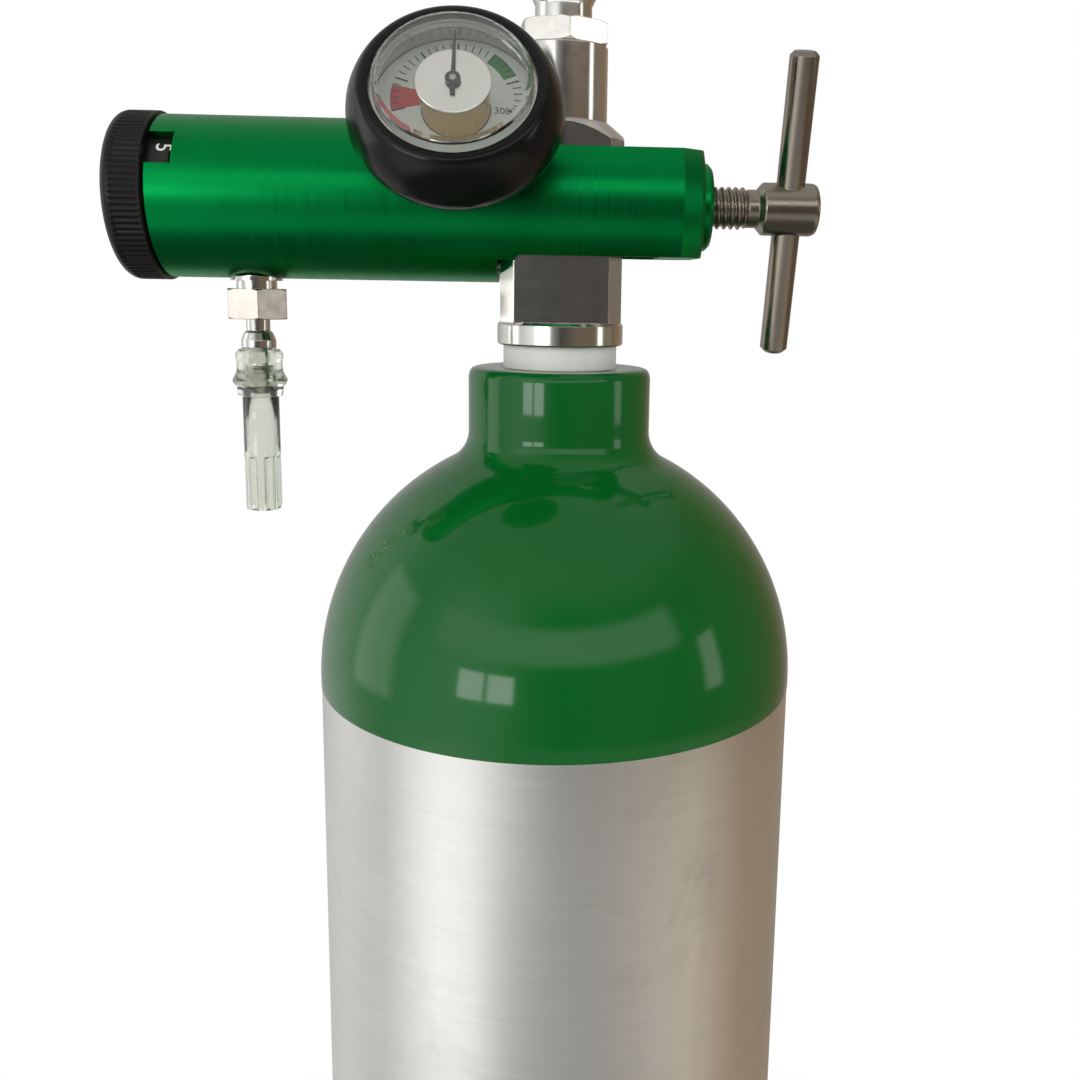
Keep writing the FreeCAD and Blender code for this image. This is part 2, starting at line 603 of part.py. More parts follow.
def flow_rotor():
    """Rotor and shaft: carries gas from the chosen orifice to the ring groove at the outlet."""
    rotor = turned([(0, SHAFT_LEFT), (SHAFT_RADIUS, SHAFT_LEFT), (SHAFT_RADIUS, ROTOR_LEFT),
                    (ROTOR_RADIUS, ROTOR_LEFT), (ROTOR_RADIUS, -74.0), (9.95, -74.0), (9.95, -72.8),
                    (ROTOR_RADIUS, -72.8), (ROTOR_RADIUS, -71.2), (8.6, -71.2), (8.6, -66.8),
                    (ROTOR_RADIUS, -66.8), (ROTOR_RADIUS, -65.4), (9.95, -65.4), (9.95, -64.2),
                    (ROTOR_RADIUS, -64.2), (ROTOR_RADIUS, ROTOR_RIGHT), (0, ROTOR_RIGHT)])
    cutters = [rod(1.5, SHAFT_LEFT - 1, -84.5)]
    port = rod(0.9, OUTLET_X, ROTOR_RIGHT + 1).fuse(rod(2.1, ROTOR_RIGHT - 0.65, ROTOR_RIGHT + 1))
    cutters.append(port.translated(FreeCAD.Vector(ORIFICE_CIRCLE, 0, 0)))
    cutters.append(tube(DETENT_CIRCLE + 0.9, DETENT_CIRCLE - 0.9, ROTOR_LEFT - 1, ROTOR_LEFT + 0.45))
    dimple = Part.makeSphere(1.35, FreeCAD.Vector(0, DETENT_CIRCLE, ROTOR_LEFT - 0.5))
    cutters += spread(dimple, POSITIONS)
    return on_barrel(rotor.cut(cutters))


def rotor_o_rings():
    """Two rings round the rotor and one face ring at its orifice."""
    rings = [o_ring(10.53, 0.5, -73.4), o_ring(10.53, 0.5, -64.8)]
    face_ring = o_ring(1.55, 0.42, ROTOR_RIGHT - 0.2)
    rings.append(face_ring.translated(FreeCAD.Vector(ORIFICE_CIRCLE, 0, 0)))
    return on_barrel(Part.makeCompound(rings))


def detent_ball():
    return on_barrel(Part.makeSphere(1.25, FreeCAD.Vector(0, DETENT_CIRCLE, -77.35)))


def detent_spring():
    return on_barrel(coil(0.85, 0.2, -80.5, -78.7, 4).translated(FreeCAD.Vector(0, DETENT_CIRCLE, 0)))


def flow_number_drum():
    """Ring behind the barrel's notch that carries the flow numbers."""
    web = SHAFT_LEFT + 1.2
    drum = turned([(7.05, SHAFT_LEFT), (15.6, SHAFT_LEFT), (15.6, -82.9), (14.2, -82.9), (14.2, web),
                   (7.05, web)])
    return on_barrel(drum)


def ribbed_disc(radius, depth, count, bottom, top):
    """Disc whose edge is cut into axial ribs."""
    points = []
    for index in range(count):
        base = 360.0 * index / count
        step = 360.0 / count
        for share, reach in ((0.0, radius - depth), (0.3, radius), (0.7, radius)):
            angle = math.radians(base + share * step)
            points.append(FreeCAD.Vector(reach * math.cos(angle), reach * math.sin(angle), bottom))
    face = Part.Face(Part.makePolygon(points + points[:1]))
    return face.extrude(FreeCAD.Vector(0, 0, top - bottom))


def flow_knob():
    """Cup-shaped knob with fine ribs, a smooth bevelled nose and a hub for the shaft."""
    ribbed = ribbed_disc(KNOB_RADIUS, KNOB_RIB_DEPTH, KNOB_RIBS, KNOB_LEFT + 2.6, KNOB_RIGHT - 0.6)
    smooth = KNOB_RADIUS - KNOB_RIB_DEPTH
    core = turned([(0, KNOB_LEFT), (smooth - 2.6, KNOB_LEFT), (smooth - 1.0, KNOB_LEFT + 0.6),
                   (smooth, KNOB_LEFT + 2.0), (smooth, KNOB_RIGHT), (0, KNOB_RIGHT)])
    hub = rod(7.0, KNOB_LEFT + 2, -85.0)
    cavity = tube(16.4, 7.0, KNOB_LEFT + 3.0, KNOB_RIGHT + 1)
    knob = core.fuse(ribbed).cut(cavity).fuse(hub)
    shaft_bore = rod(SHAFT_RADIUS + 0.02, SHAFT_LEFT, -84)
    screw_bore = rod(1.6, KNOB_LEFT, SHAFT_LEFT + 1).fuse(rod(3.1, KNOB_LEFT, KNOB_LEFT + 3.5))
    cap_recess = rod(9.0, KNOB_LEFT - 1, KNOB_LEFT + 1.2)
    return on_barrel(knob.cut([shaft_bore, screw_bore, cap_recess]).removeSplitter())


def knob_screw():
    head = rod(3.0, KNOB_LEFT + 1.4, KNOB_LEFT + 3.5)
    screw = head.fuse(rod(1.5, KNOB_LEFT + 3.4, -84.6))
    cross = [block((-2.0, -0.4, KNOB_LEFT), (2.0, 0.4, KNOB_LEFT + 2.4))]
    cross.append(cross[0].rotated(ORIGIN, Z_AXIS, 90))
    return on_barrel(screw.cut(cross))


def knob_cap():
    front = KNOB_LEFT - 0.3
    cap = turned([(0, front), (8.2, front), (8.9, front + 0.6), (8.9, front + 1.5), (0, front + 1.5)])
    return on_barrel(cap)


# ------------------------------------------------------------------ outlet
def outlet_stem():
    """Threaded stub screwed into the barrel; the nut clamps the hose tail against its end."""
    stem = tube(OUTLET_RADIUS, 2.0, -24.4, -14.9)
    return below_barrel(stem)


def outlet_washer():
    return below_barrel(tube(5.7, OUTLET_RADIUS + 0.05, -18.2, -17.2))


def outlet_nut():
    nut = hexagon(7.33, -26.8, -20.0, 0.7).rotated(ORIGIN, Z_AXIS, OUTLET_NUT_TURN)
    return below_barrel(nut.cut([rod(OUTLET_RADIUS + 0.05, -25.6, -19), rod(2.8, -28, -25)]))


def tail_seal():
    return below_barrel(tube(4.3, 2.1, -24.8, -24.4))


def hose_tail():
    """Barbed tail: flange inside the nut, bright neck, barbs inside the soft collar."""
    tail = turned([(1.3, -44.0), (2.0, -44.0), (3.4, -41.6), (2.5, -41.4), (2.5, -39.6), (3.5, -37.2),
                   (2.5, -37.0), (2.5, -34.9), (3.85, -33.2), (3.85, -31.6), (3.2, -29.9), (2.6, -29.4),
                   (2.7, -25.6), (4.3, -25.6), (4.3, -24.8), (1.3, -24.8)])
    return below_barrel(tail)


def tubing_collar():
    """Soft clear collar stretched over the barbs, with a rolled top and a grip lip."""
    collar = turned([(4.0, -44.4), (4.9, -44.4), (5.1, -42.6), (6.1, -40.6), (5.2, -38.9), (5.0, -36.4),
                     (5.3, -35.6), (5.2, -34.6), (4.4, -33.6), (3.9, -33.6), (3.9, -38.0), (4.0, -38.2)])
    return below_barrel(collar)


def tubing_stub():
    """Clear tube end with six gripping ribs inside its lower mouth."""
    bottom = -70.9
    rib_top = -58.3
    stub = turned([(3.0, bottom), (3.7, bottom), (4.05, bottom + 0.5), (4.05, -44.5), (3.95, -44.4),
                   (3.95, -38.3), (3.6, -38.3), (3.6, -44.4), (3.2, -44.9), (3.2, rib_top + 0.4),
                   (3.0, rib_top)])
    rib = block((1.9, -0.45, bottom + 0.6), (3.15, 0.45, rib_top))
    for copy in spread(rib, 6):
        stub = stub.fuse(copy)
    return below_barrel(stub.removeSplitter())


# ------------------------------------------------------------------ gauge
def gauge_socket():
    """Brass base: threaded end in the barrel, a round collar and the spigot that carries the case."""
    spigot = CASE_BACK + 1.5
    socket = turned([(1.0, 8.8), (4.8, 8.8), (4.8, 17.9), (6.2, 18.0), (6.2, CASE_BACK), (4.0, CASE_BACK),
                     (4.0, spigot), (1.0, spigot)])
    return on_gauge(socket)


def gauge_case():
    inner = CASE_RADIUS - CASE_WALL
    case = turned([(4.1, CASE_BACK), (CASE_RADIUS - 1.0, CASE_BACK), (CASE_RADIUS, CASE_BACK + 1.0),
                   (CASE_RADIUS, CASE_FRONT), (inner, CASE_FRONT), (inner, CASE_BACK + 1.2),
                   (4.1, CASE_BACK + 1.2)])
    return on_gauge(case)


def gauge_boot():
    """Soft rubber boot: bowl-shaped back, full shoulder and a lip rolled over the bezel."""
    inner = CASE_RADIUS + 0.05
    floor = CASE_BACK - 0.05
    edges = lines([(8.0, floor), (8.0, BOOT_BACK), (BOOT_WAIST, BOOT_BACK)])
    edges.append(arc((BOOT_WAIST, BOOT_BACK), (18.5, 25.3), (BOOT_RADIUS, 31.6)))
    edges.append(arc((BOOT_RADIUS, 31.6), (20.9, 36.4), (BOOT_RIM_RADIUS, 40.3)))
    edges.append(arc((BOOT_RIM_RADIUS, 40.3), (17.8, 41.0), (BOOT_OPENING + 0.4, BOOT_FRONT)))
    edges += lines([(BOOT_OPENING + 0.4, BOOT_FRONT), (BOOT_OPENING, BOOT_FRONT - 0.4), (BOOT_OPENING, 39.75),
                    (18.0, 39.75), (18.0, 32.9), (inner, 32.9), (inner, floor), (8.0, floor)])
    return on_gauge(revolved(edges))


def gauge_bezel():
    bezel = turned([(CASE_RADIUS + 0.05, 33.0), (17.95, 33.0), (17.95, 39.7), (15.6, 39.7), (15.6, 38.95),
                    (CASE_RADIUS + 0.05, 38.95)])
    return on_gauge(bezel)


def gauge_lens():
    seat = CASE_FRONT + 0.1
    lens = turned([(0, LENS_INSIDE), (14.8, LENS_INSIDE), (14.8, seat), (17.3, seat), (17.3, 38.9), (15.5, 38.9),
                   (15.5, LENS_INSIDE + 0.4), (14.4, LENS_INSIDE + 1.2), (0, LENS_INSIDE + 1.4)])
    return on_gauge(lens)


def gauge_dial():
    edge = CASE_RADIUS - CASE_WALL - 0.1
    return on_gauge(tube(edge, GAUGE_DRUM_RADIUS + 0.1, DIAL_LEVEL, DIAL_LEVEL + 0.5))


def dial_rest():
    """Ring inside the case that the dial is glued to."""
    inner = CASE_RADIUS - CASE_WALL
    return on_gauge(tube(inner, inner - 1.4, CASE_BACK + 1.2, DIAL_LEVEL))


def gauge_drum():
    bottom = CASE_BACK + 1.6
    drum = turned([(0.75, bottom), (GAUGE_DRUM_RADIUS, bottom), (GAUGE_DRUM_RADIUS, DRUM_TOP), (5.5, DRUM_TOP),
                   (5.5, bottom + 1.0), (0.75, bottom + 1.0)])
    return on_gauge(drum)


def drum_cap():
    cap = turned([(0.75, DRUM_TOP), (7.2, DRUM_TOP), (7.4, DRUM_TOP + 0.2), (7.4, DRUM_TOP + 0.6),
                  (0.75, DRUM_TOP + 0.6)])
    return on_gauge(cap)


def bourdon_coil():
    return on_gauge(coil(3.8, 0.7, CASE_BACK + 2.8, 35.6, 4))


def pointer_shaft():
    return on_gauge(rod(0.65, CASE_BACK + 1.8, LENS_INSIDE - 0.3))


def gauge_needle():
    """Tapered pointer on a small hub, lying over the drum's cap and pointing up the dial."""
    bottom = DRUM_TOP + 0.8
    hub = tube(1.5, 0.65, bottom, bottom + 0.7)
    corners = [(-0.5, -3.2), (0.5, -3.2), (0.45, 0), (0.2, 11.4), (-0.2, 11.4), (-0.45, 0)]
    points = [FreeCAD.Vector(x, y, bottom + 0.1) for x, y in corners]
    pointer = Part.Face(Part.makePolygon(points + points[:1])).extrude(FreeCAD.Vector(0, 0, 0.3))
    return on_gauge(hub.fuse(pointer).cut(rod(0.65, bottom - 1, bottom + 2)).removeSplitter())


NODES = (
    cylinder_shell, neck_o_ring, neck_spacer, valve_body, debris_tube, burst_disc, safety_plug, seat_disc,
    seat_plug, valve_spindle, spindle_packing, stem_nut, toggle_lever, toggle_pin, regulator_barrel,
    index_pins, inlet_seal, inlet_nipple, inlet_filter, thrust_pad, yoke_screw, tee_bar, piston,
    piston_o_rings, piston_spring, regulator_seat, orifice_plate, flow_sleeve, stack_o_rings,
    retaining_ring, flow_rotor, rotor_o_rings, detent_ball, detent_spring, flow_number_drum, flow_knob,
    knob_screw, knob_cap, outlet_stem, outlet_washer, outlet_nut, tail_seal, hose_tail, tubing_collar,
    tubing_stub, gauge_socket, gauge_case, gauge_boot, gauge_bezel, gauge_lens, gauge_dial, dial_rest,
    gauge_drum, drum_cap, bourdon_coil, pointer_shaft, gauge_needle,
)


def main():
    os.makedirs("parts", exist_ok=True)
    for build_node in NODES:
        name = build_node.__name__
        shape = build_node()
        shape.exportStep("parts/" + name + ".step")
        print(name, "solids", len(shape.Solids), "volume", round(shape.Volume, 2), "valid", shape.isValid())


main()
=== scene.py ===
# Portable oxygen cylinder with a post valve and a clamp-on flow regulator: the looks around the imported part.
# Metres in the part's own frame: +Z up the cylinder, +X towards the tee handle, the viewer at -Y.
# Profiles are (radius, height) in millimetres about a local Z axis and are placed by a matrix.
import json
import math
import bmesh
import bpy
from mathutils import Matrix, Vector


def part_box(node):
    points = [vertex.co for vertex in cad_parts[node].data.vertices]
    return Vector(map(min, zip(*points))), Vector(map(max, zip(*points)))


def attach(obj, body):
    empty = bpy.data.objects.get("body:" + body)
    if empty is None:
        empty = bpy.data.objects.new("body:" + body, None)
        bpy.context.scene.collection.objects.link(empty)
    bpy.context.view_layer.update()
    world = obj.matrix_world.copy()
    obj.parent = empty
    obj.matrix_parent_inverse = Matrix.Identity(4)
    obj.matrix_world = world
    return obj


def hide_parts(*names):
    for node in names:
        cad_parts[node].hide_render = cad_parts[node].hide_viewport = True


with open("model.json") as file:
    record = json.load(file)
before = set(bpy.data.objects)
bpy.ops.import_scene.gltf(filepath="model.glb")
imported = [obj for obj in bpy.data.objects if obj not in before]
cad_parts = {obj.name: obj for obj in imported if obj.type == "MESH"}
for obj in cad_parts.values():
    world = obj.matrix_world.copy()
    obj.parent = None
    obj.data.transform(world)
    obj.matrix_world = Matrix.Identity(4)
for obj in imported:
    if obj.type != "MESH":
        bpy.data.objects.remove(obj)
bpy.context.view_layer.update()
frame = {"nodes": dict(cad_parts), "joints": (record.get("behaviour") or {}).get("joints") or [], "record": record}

MM = 0.001
JOINTS = {joint["name"]: joint for joint in frame["joints"]}
BARREL_Z = JOINTS["flow_select"]["pos_m"][2] / MM
GAUGE_X = JOINTS["needle_swing"]["pos_m"][0] / MM
GAUGE_AXIS = Vector(JOINTS["needle_swing"]["axis"])
GAUGE_RISE = math.asin(GAUGE_AXIS.z)
OUTLET_X = (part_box("outlet_nut")[0].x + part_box("outlet_nut")[1].x) / 2 / MM
SHELL_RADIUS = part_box("cylinder_shell")[1].x / MM
SHELL_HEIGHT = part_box("cylinder_shell")[1].z / MM
KNOB_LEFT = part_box("flow_knob")[0].x / MM
KNOB_RIGHT = KNOB_LEFT + 8.8
KNOB_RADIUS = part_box("flow_knob")[1].y / MM
KNOB_RIBS = 86

UPRIGHT = Matrix.Identity(4)
AT_BARREL = Matrix.Translation((0, 0, BARREL_Z))
ON_BARREL = AT_BARREL @ Matrix.Rotation(math.pi / 2, 4, "Y")
ON_GAUGE = Matrix.Translation((GAUGE_X, 0, BARREL_Z)) @ Matrix.Rotation(math.pi / 2 - GAUGE_RISE, 4, "X")
UNDER_BARREL = Matrix.Translation((OUTLET_X, 0, BARREL_Z))


# ------------------------------------------------------------------ node helpers
def node(tree, kind, inputs=None, **settings):
    """A shader node with its settings and the values of its unlinked sockets."""
    made = tree.nodes.new("ShaderNode" + kind)
    for key, value in settings.items():
        setattr(made, key, value)
    for key, value in (inputs or {}).items():
        made.inputs[key].default_value = value
    return made


def join(tree, start, end):
    tree.links.new(start, end)


def object_point(tree):
    return node(tree, "TexCoord").outputs["Object"]


def noise(tree, vector, scale, detail=3.0, roughness=0.55, distortion=0.0):
    """Noise value between about 0 and 1 at a scale per metre."""
    made = node(tree, "TexNoise", {"Scale": scale, "Detail": detail, "Roughness": roughness,
                                   "Distortion": distortion})
    join(tree, vector, made.inputs["Vector"])
    return made.outputs["Fac"]


def remap(tree, value, low, high, to_low, to_high, smooth=False):
    made = node(tree, "MapRange", {1: low, 2: high, 3: to_low, 4: to_high})
    if smooth:
        made.interpolation_type = "SMOOTHSTEP"
    join(tree, value, made.inputs[0])
    return made.outputs[0]


def maths(tree, operation, first, second=None):
    """Math node on sockets or numbers."""
    made = node(tree, "Math", operation=operation)
    for index, value in enumerate((first, second)):
        if value is None:
            continue
        if isinstance(value, (int, float)):
            made.inputs[index].default_value = value
        else:
            join(tree, value, made.inputs[index])
    return made.outputs[0]


def blend_colour(tree, factor, first, second):
    """Mix of two colours, each a colour or a socket, by a factor socket."""
    made = node(tree, "Mix", data_type="RGBA")
    join(tree, factor, made.inputs[0])
    for index, colour in ((6, first), (7, second)):
        if isinstance(colour, tuple):
            made.inputs[index].default_value = (*colour, 1.0)
        else:
            join(tree, colour, made.inputs[index])
    return made.outputs[2]


def stretched(tree, vector, scale):
    """The point with each axis multiplied."""
    made = node(tree, "VectorMath", {1: scale}, operation="MULTIPLY")
    join(tree, vector, made.inputs[0])
    return made.outputs[0]


def lathe_point(tree, origin, axis):
    """(height along an axis, distance from it, 0): noise on it makes turning marks."""
    offset = node(tree, "VectorMath", {1: origin}, operation="SUBTRACT")
    join(tree, object_point(tree), offset.inputs[0])
    along = node(tree, "VectorMath", {1: axis}, operation="DOT_PRODUCT")
    join(tree, offset.outputs[0], along.inputs[0])
    on_axis = node(tree, "VectorMath", {0: axis}, operation="SCALE")
    join(tree, along.outputs["Value"], on_axis.inputs["Scale"])
    across = node(tree, "VectorMath", operation="SUBTRACT")
    join(tree, offset.outputs[0], across.inputs[0])
    join(tree, on_axis.outputs[0], across.inputs[1])
    radius = node(tree, "VectorMath", operation="LENGTH")
    join(tree, across.outputs[0], radius.inputs[0])
    point = node(tree, "CombineXYZ")
    join(tree, along.outputs["Value"], point.inputs[0])
    join(tree, radius.outputs["Value"], point.inputs[1])
    return point.outputs[0]


def start_material(name, **sockets):
    """A Principled material with constant sockets."""
    material = bpy.data.materials.new(name)
    material.use_nodes = True
    tree = material.node_tree
    shader = tree.nodes["Principled BSDF"]
    for key, value in sockets.items():
        if isinstance(value, tuple):
            value = (*value, 1.0)
        shader.inputs[key.replace("_", " ")].default_value = value
    return material, tree, shader


def relief(tree, shader, heights, edge=0.0):
    """Bump from (height socket, depth in metres) pairs over slightly rounded edges."""
    normal = None
    if edge:
        rounded = node(tree, "Bevel", {"Radius": edge}, samples=4)
        normal = rounded.outputs[0]
    for height, depth in heights:
        bump = node(tree, "Bump", {"Strength": 1.0, "Distance": depth})
        join(tree, height, bump.inputs["Height"])
        if normal is not None:
            join(tree, normal, bump.inputs["Normal"])
        normal = bump.outputs[0]
    join(tree, normal, shader.inputs["Normal"])


def metal(name, light, dark, roughness, turned=None, marks=0.0, edge=0.00025, spread=0.08, wave=0.0):
    """Metal with cloudy colour, uneven polish, and turning marks about an optional (origin, axis)."""
    material, tree, shader = start_material(name, Metallic=1.0)
    point = object_point(tree)
    clouds = noise(tree, point, 90.0)
    join(tree, blend_colour(tree, clouds, dark, light), shader.inputs["Base Color"])
    fine = noise(tree, point, 420.0, 4.0)
    polish = remap(tree, fine, 0.3, 0.7, roughness - spread / 2, roughness + spread / 2)
    join(tree, polish, shader.inputs["Roughness"])
    heights = [(noise(tree, point, 2500.0, 2.0), 0.000002)]
    if wave:
        heights.append((noise(tree, point, 130.0, 1.0), wave))
    if turned:
        lines = stretched(tree, lathe_point(tree, *turned), (1.0, 1.0, 0.0))
        heights.append((noise(tree, lines, 1800.0, 3.0), marks))
    relief(tree, shader, heights, edge)
    return material


def plastic(name, light, dark, roughness, grain=0.000006, coat=0.0, specular=0.5):
    """Moulded plastic or rubber with a fine grain."""
    material, tree, shader = start_material(name, Coat_Weight=coat, Coat_Roughness=0.12,
                                            Specular_IOR_Level=specular)
    point = object_point(tree)
    join(tree, blend_colour(tree, noise(tree, point, 160.0), dark, light), shader.inputs["Base Color"])
    join(tree, remap(tree, noise(tree, point, 300.0), 0.3, 0.7, roughness - 0.05, roughness + 0.05),
         shader.inputs["Roughness"])
    relief(tree, shader, [(noise(tree, point, 2200.0, 2.0), grain)], MOULDED_EDGE)
    return material


# ------------------------------------------------------------------ materials
MOULDED_EDGE = 0.0002
TEE_X = 52.1
BARREL_LATHE = ((0, 0, BARREL_Z * MM), (1, 0, 0))
POST_LATHE = ((0, 0, BARREL_Z * MM), (0, 0, 1))
GAUGE_LATHE = ((GAUGE_X * MM, 0, BARREL_Z * MM), tuple(GAUGE_AXIS))
TEE_LEAN = math.radians(17.3)
TEE_LATHE = ((TEE_X * MM, 0, BARREL_Z * MM), (0, -math.sin(TEE_LEAN), math.cos(TEE_LEAN)))
OUTLET_LATHE = ((OUTLET_X * MM, 0, BARREL_Z * MM), (0, 0, 1))
PAINT_LINE = 345.8


def bare_aluminium():
    """Spun aluminium wall: fine rings, faint upright rub marks and scuffs."""
    material, tree, shader = start_material("bare_aluminium", Metallic=1.0)
    point = object_point(tree)
    rings = stretched(tree, lathe_point(tree, (0, 0, 0), (0, 0, 1)), (1.0, 0.0, 0.0))
    ring_noise = noise(tree, stretched(tree, point, (0.05, 0.05, 1.0)), 900.0, 5.0, 0.7)
    rubs = noise(tree, stretched(tree, point, (1.0, 1.0, 0.08)), 60.0, 4.0, 0.6)
    scuffs = noise(tree, point, 38.0, 6.0, 0.7, 0.6)
    streaks = remap(tree, ring_noise, 0.3, 0.7, 0.0, 1.0)
    tone = blend_colour(tree, streaks, (0.80, 0.795, 0.78), (0.86, 0.855, 0.84))
    worn = remap(tree, scuffs, 0.62, 0.74, 0.0, 0.35)
    join(tree, blend_colour(tree, worn, tone, (0.60, 0.58, 0.55)), shader.inputs["Base Color"])
    rough = maths(tree, "ADD", remap(tree, rubs, 0.3, 0.7, 0.26, 0.36),
                  remap(tree, scuffs, 0.5, 0.75, 0.0, 0.12))
    join(tree, rough, shader.inputs["Roughness"])
    dents = noise(tree, point, 26.0, 2.0)
    relief(tree, shader, [(noise(tree, rings, 2600.0, 3.0), 0.000006), (dents, 0.00008), (scuffs, 0.00002)])
    return material


def shoulder_paint():
    """Thick glossy enamel with a little orange peel, and chips near its lower edge."""
    material, tree, shader = start_material("shoulder_paint", Coat_Weight=0.55, Coat_Roughness=0.03,
                                            Specular_IOR_Level=0.12)
    point = object_point(tree)
    clouds = noise(tree, point, 22.0)
    green = blend_colour(tree, clouds, (0.001, 0.074, 0.010), (0.0018, 0.104, 0.015))
    chips = node(tree, "TexVoronoi", {"Scale": 62.0, "Randomness": 1.0})
    wobble = node(tree, "VectorMath", {1: (0.004, 0.004, 0.004)}, operation="MULTIPLY")
    warp = node(tree, "TexNoise", {"Scale": 420.0, "Detail": 2.0})
    join(tree, point, warp.inputs["Vector"])
    join(tree, warp.outputs["Color"], wobble.inputs[0])
    moved = node(tree, "VectorMath", operation="ADD")
    join(tree, point, moved.inputs[0])
    join(tree, wobble.outputs[0], moved.inputs[1])
    join(tree, moved.outputs[0], chips.inputs["Vector"])
    height = node(tree, "SeparateXYZ")
    join(tree, point, height.inputs[0])
    near_edge = remap(tree, height.outputs["Z"], (PAINT_LINE + 1) * MM, (PAINT_LINE + 14) * MM, 0.085, 0.0)
    chosen = maths(tree, "GREATER_THAN", noise(tree, point, 30.0, 1.0), 0.60)
    spot = maths(tree, "LESS_THAN", chips.outputs["Distance"], maths(tree, "MULTIPLY", near_edge, chosen))
    join(tree, blend_colour(tree, spot, green, (0.75, 0.76, 0.72)), shader.inputs["Base Color"])
    join(tree, remap(tree, noise(tree, point, 240.0), 0.3, 0.7, 0.10, 0.17), shader.inputs["Roughness"])
    relief(tree, shader, [(noise(tree, point, 75.0, 2.0), 0.00006),
                          (noise(tree, point, 420.0, 2.0), 0.000008)])
    return material


def anodised_green():
    """Satin dyed aluminium with fine turning marks along the barrel."""
    material, tree, shader = start_material("anodised_green", Metallic=1.0)
    marks = lathe_point(tree, *BARREL_LATHE)
    fine = noise(tree, stretched(tree, marks, (1.0, 1.0, 0.0)), 1500.0, 4.0, 0.65)
    clouds = noise(tree, object_point(tree), 55.0)
    tone = blend_colour(tree, clouds, (0.0015, 0.24, 0.050), (0.0025, 0.33, 0.075))
    join(tree, tone, shader.inputs["Base Color"])
    join(tree, remap(tree, fine, 0.3, 0.7, 0.26, 0.36), shader.inputs["Roughness"])
    relief(tree, shader, [(fine, 0.000004), (noise(tree, object_point(tree), 1800.0, 2.0), 0.000003)], 0.0003)
    return material


def clear_plastic(name, tint, roughness, haze, ior=1.45):
    """Clear vinyl or polycarbonate with a slight haze."""
    material, tree, shader = start_material(name, IOR=ior, Transmission_Weight=1.0, Base_Color=tint)
    point = object_point(tree)
    join(tree, remap(tree, noise(tree, point, 200.0), 0.3, 0.7, roughness, roughness + haze),
         shader.inputs["Roughness"])
    relief(tree, shader, [(noise(tree, point, 180.0, 2.0), 0.00002)])
    return material


def spacer_nylon():
    material, tree, shader = start_material("spacer_nylon", Subsurface_Weight=0.4, Subsurface_Scale=0.004,
                                            Roughness=0.35, Specular_IOR_Level=0.5)
    point = object_point(tree)
    shader.inputs["Subsurface Radius"].default_value = (1.0, 0.9, 0.8)
    join(tree, blend_colour(tree, noise(tree, point, 90.0), (0.60, 0.60, 0.57), (0.72, 0.72, 0.69)),
         shader.inputs["Base Color"])
    join(tree, remap(tree, noise(tree, point, 350.0), 0.3, 0.7, 0.28, 0.42), shader.inputs["Roughness"])
    relief(tree, shader, [(noise(tree, lathe_point(tree, *POST_LATHE), 1200.0, 2.0), 0.00001)], 0.0002)
    return material


def dial_print(name, colour):
    """Ink on the dial card or the number drum."""
    material, tree, shader = start_material(name, Roughness=0.5)
    point = object_point(tree)
    faded = tuple(0.75 * part + 0.02 for part in colour)
    join(tree, blend_colour(tree, noise(tree, point, 900.0), colour, faded), shader.inputs["Base Color"])
    return material


MATERIALS = {
    "shell_aluminium": bare_aluminium(),
    "valve_chrome": metal("valve_chrome", (0.80, 0.785, 0.75), (0.70, 0.685, 0.65), 0.13, POST_LATHE,
                          marks=0.000002, edge=0.0003, spread=0.05, wave=0.00002),
    "spacer_nylon": spacer_nylon(),
    "rubber_black": plastic("rubber_black", (0.02, 0.02, 0.02), (0.012, 0.012, 0.012), 0.6),
    "gloss_rubber": plastic("gloss_rubber", (0.005, 0.005, 0.005), (0.003, 0.003, 0.003), 0.20,
                            grain=0.000004, coat=0.08, specular=0.2),
    "anodised_green": anodised_green(),
    "screw_steel": metal("screw_steel", (0.40, 0.35, 0.295), (0.31, 0.27, 0.225), 0.24, BARREL_LATHE, 0.000006),
    "knob_plastic": plastic("knob_plastic", (0.007, 0.007, 0.007), (0.004, 0.004, 0.004), 0.34,
                            grain=0.00001, specular=0.22),
    "drum_plastic": plastic("drum_plastic", (0.010, 0.010, 0.010), (0.006, 0.006, 0.006), 0.35),
    "brass": metal("brass", (0.66, 0.46, 0.20), (0.52, 0.34, 0.13), 0.25, GAUGE_LATHE, 0.000006),
    "spring_steel": metal("spring_steel", (0.50, 0.49, 0.47), (0.40, 0.39, 0.37), 0.3),
    "seat_polymer": plastic("seat_polymer", (0.42, 0.34, 0.24), (0.34, 0.27, 0.19), 0.5),
    "clear_vinyl": clear_plastic("clear_vinyl", (0.80, 0.82, 0.76), 0.10, 0.08),
    "gauge_steel": metal("gauge_steel", (0.62, 0.61, 0.58), (0.52, 0.51, 0.48), 0.22, GAUGE_LATHE, 0.000003),
    "clear_lens": clear_plastic("clear_lens", (0.97, 0.98, 0.97), 0.0, 0.01, 1.49),
    "dial_card": plastic("dial_card", (0.62, 0.66, 0.60), (0.56, 0.60, 0.55), 0.55, 0.000003),
    "disc_silver": metal("disc_silver", (0.64, 0.62, 0.58), (0.54, 0.52, 0.48), 0.24, GAUGE_LATHE, 0.00003),
    "needle_black": plastic("needle_black", (0.02, 0.02, 0.02), (0.012, 0.012, 0.012), 0.4),
    "filter_bronze": metal("filter_bronze", (0.40, 0.27, 0.14), (0.30, 0.20, 0.10), 0.6),
}
PAINT = shoulder_paint()
TEE_STEEL = metal("tee_steel", (0.38, 0.33, 0.28), (0.29, 0.25, 0.21), 0.20, TEE_LATHE, 0.000006)
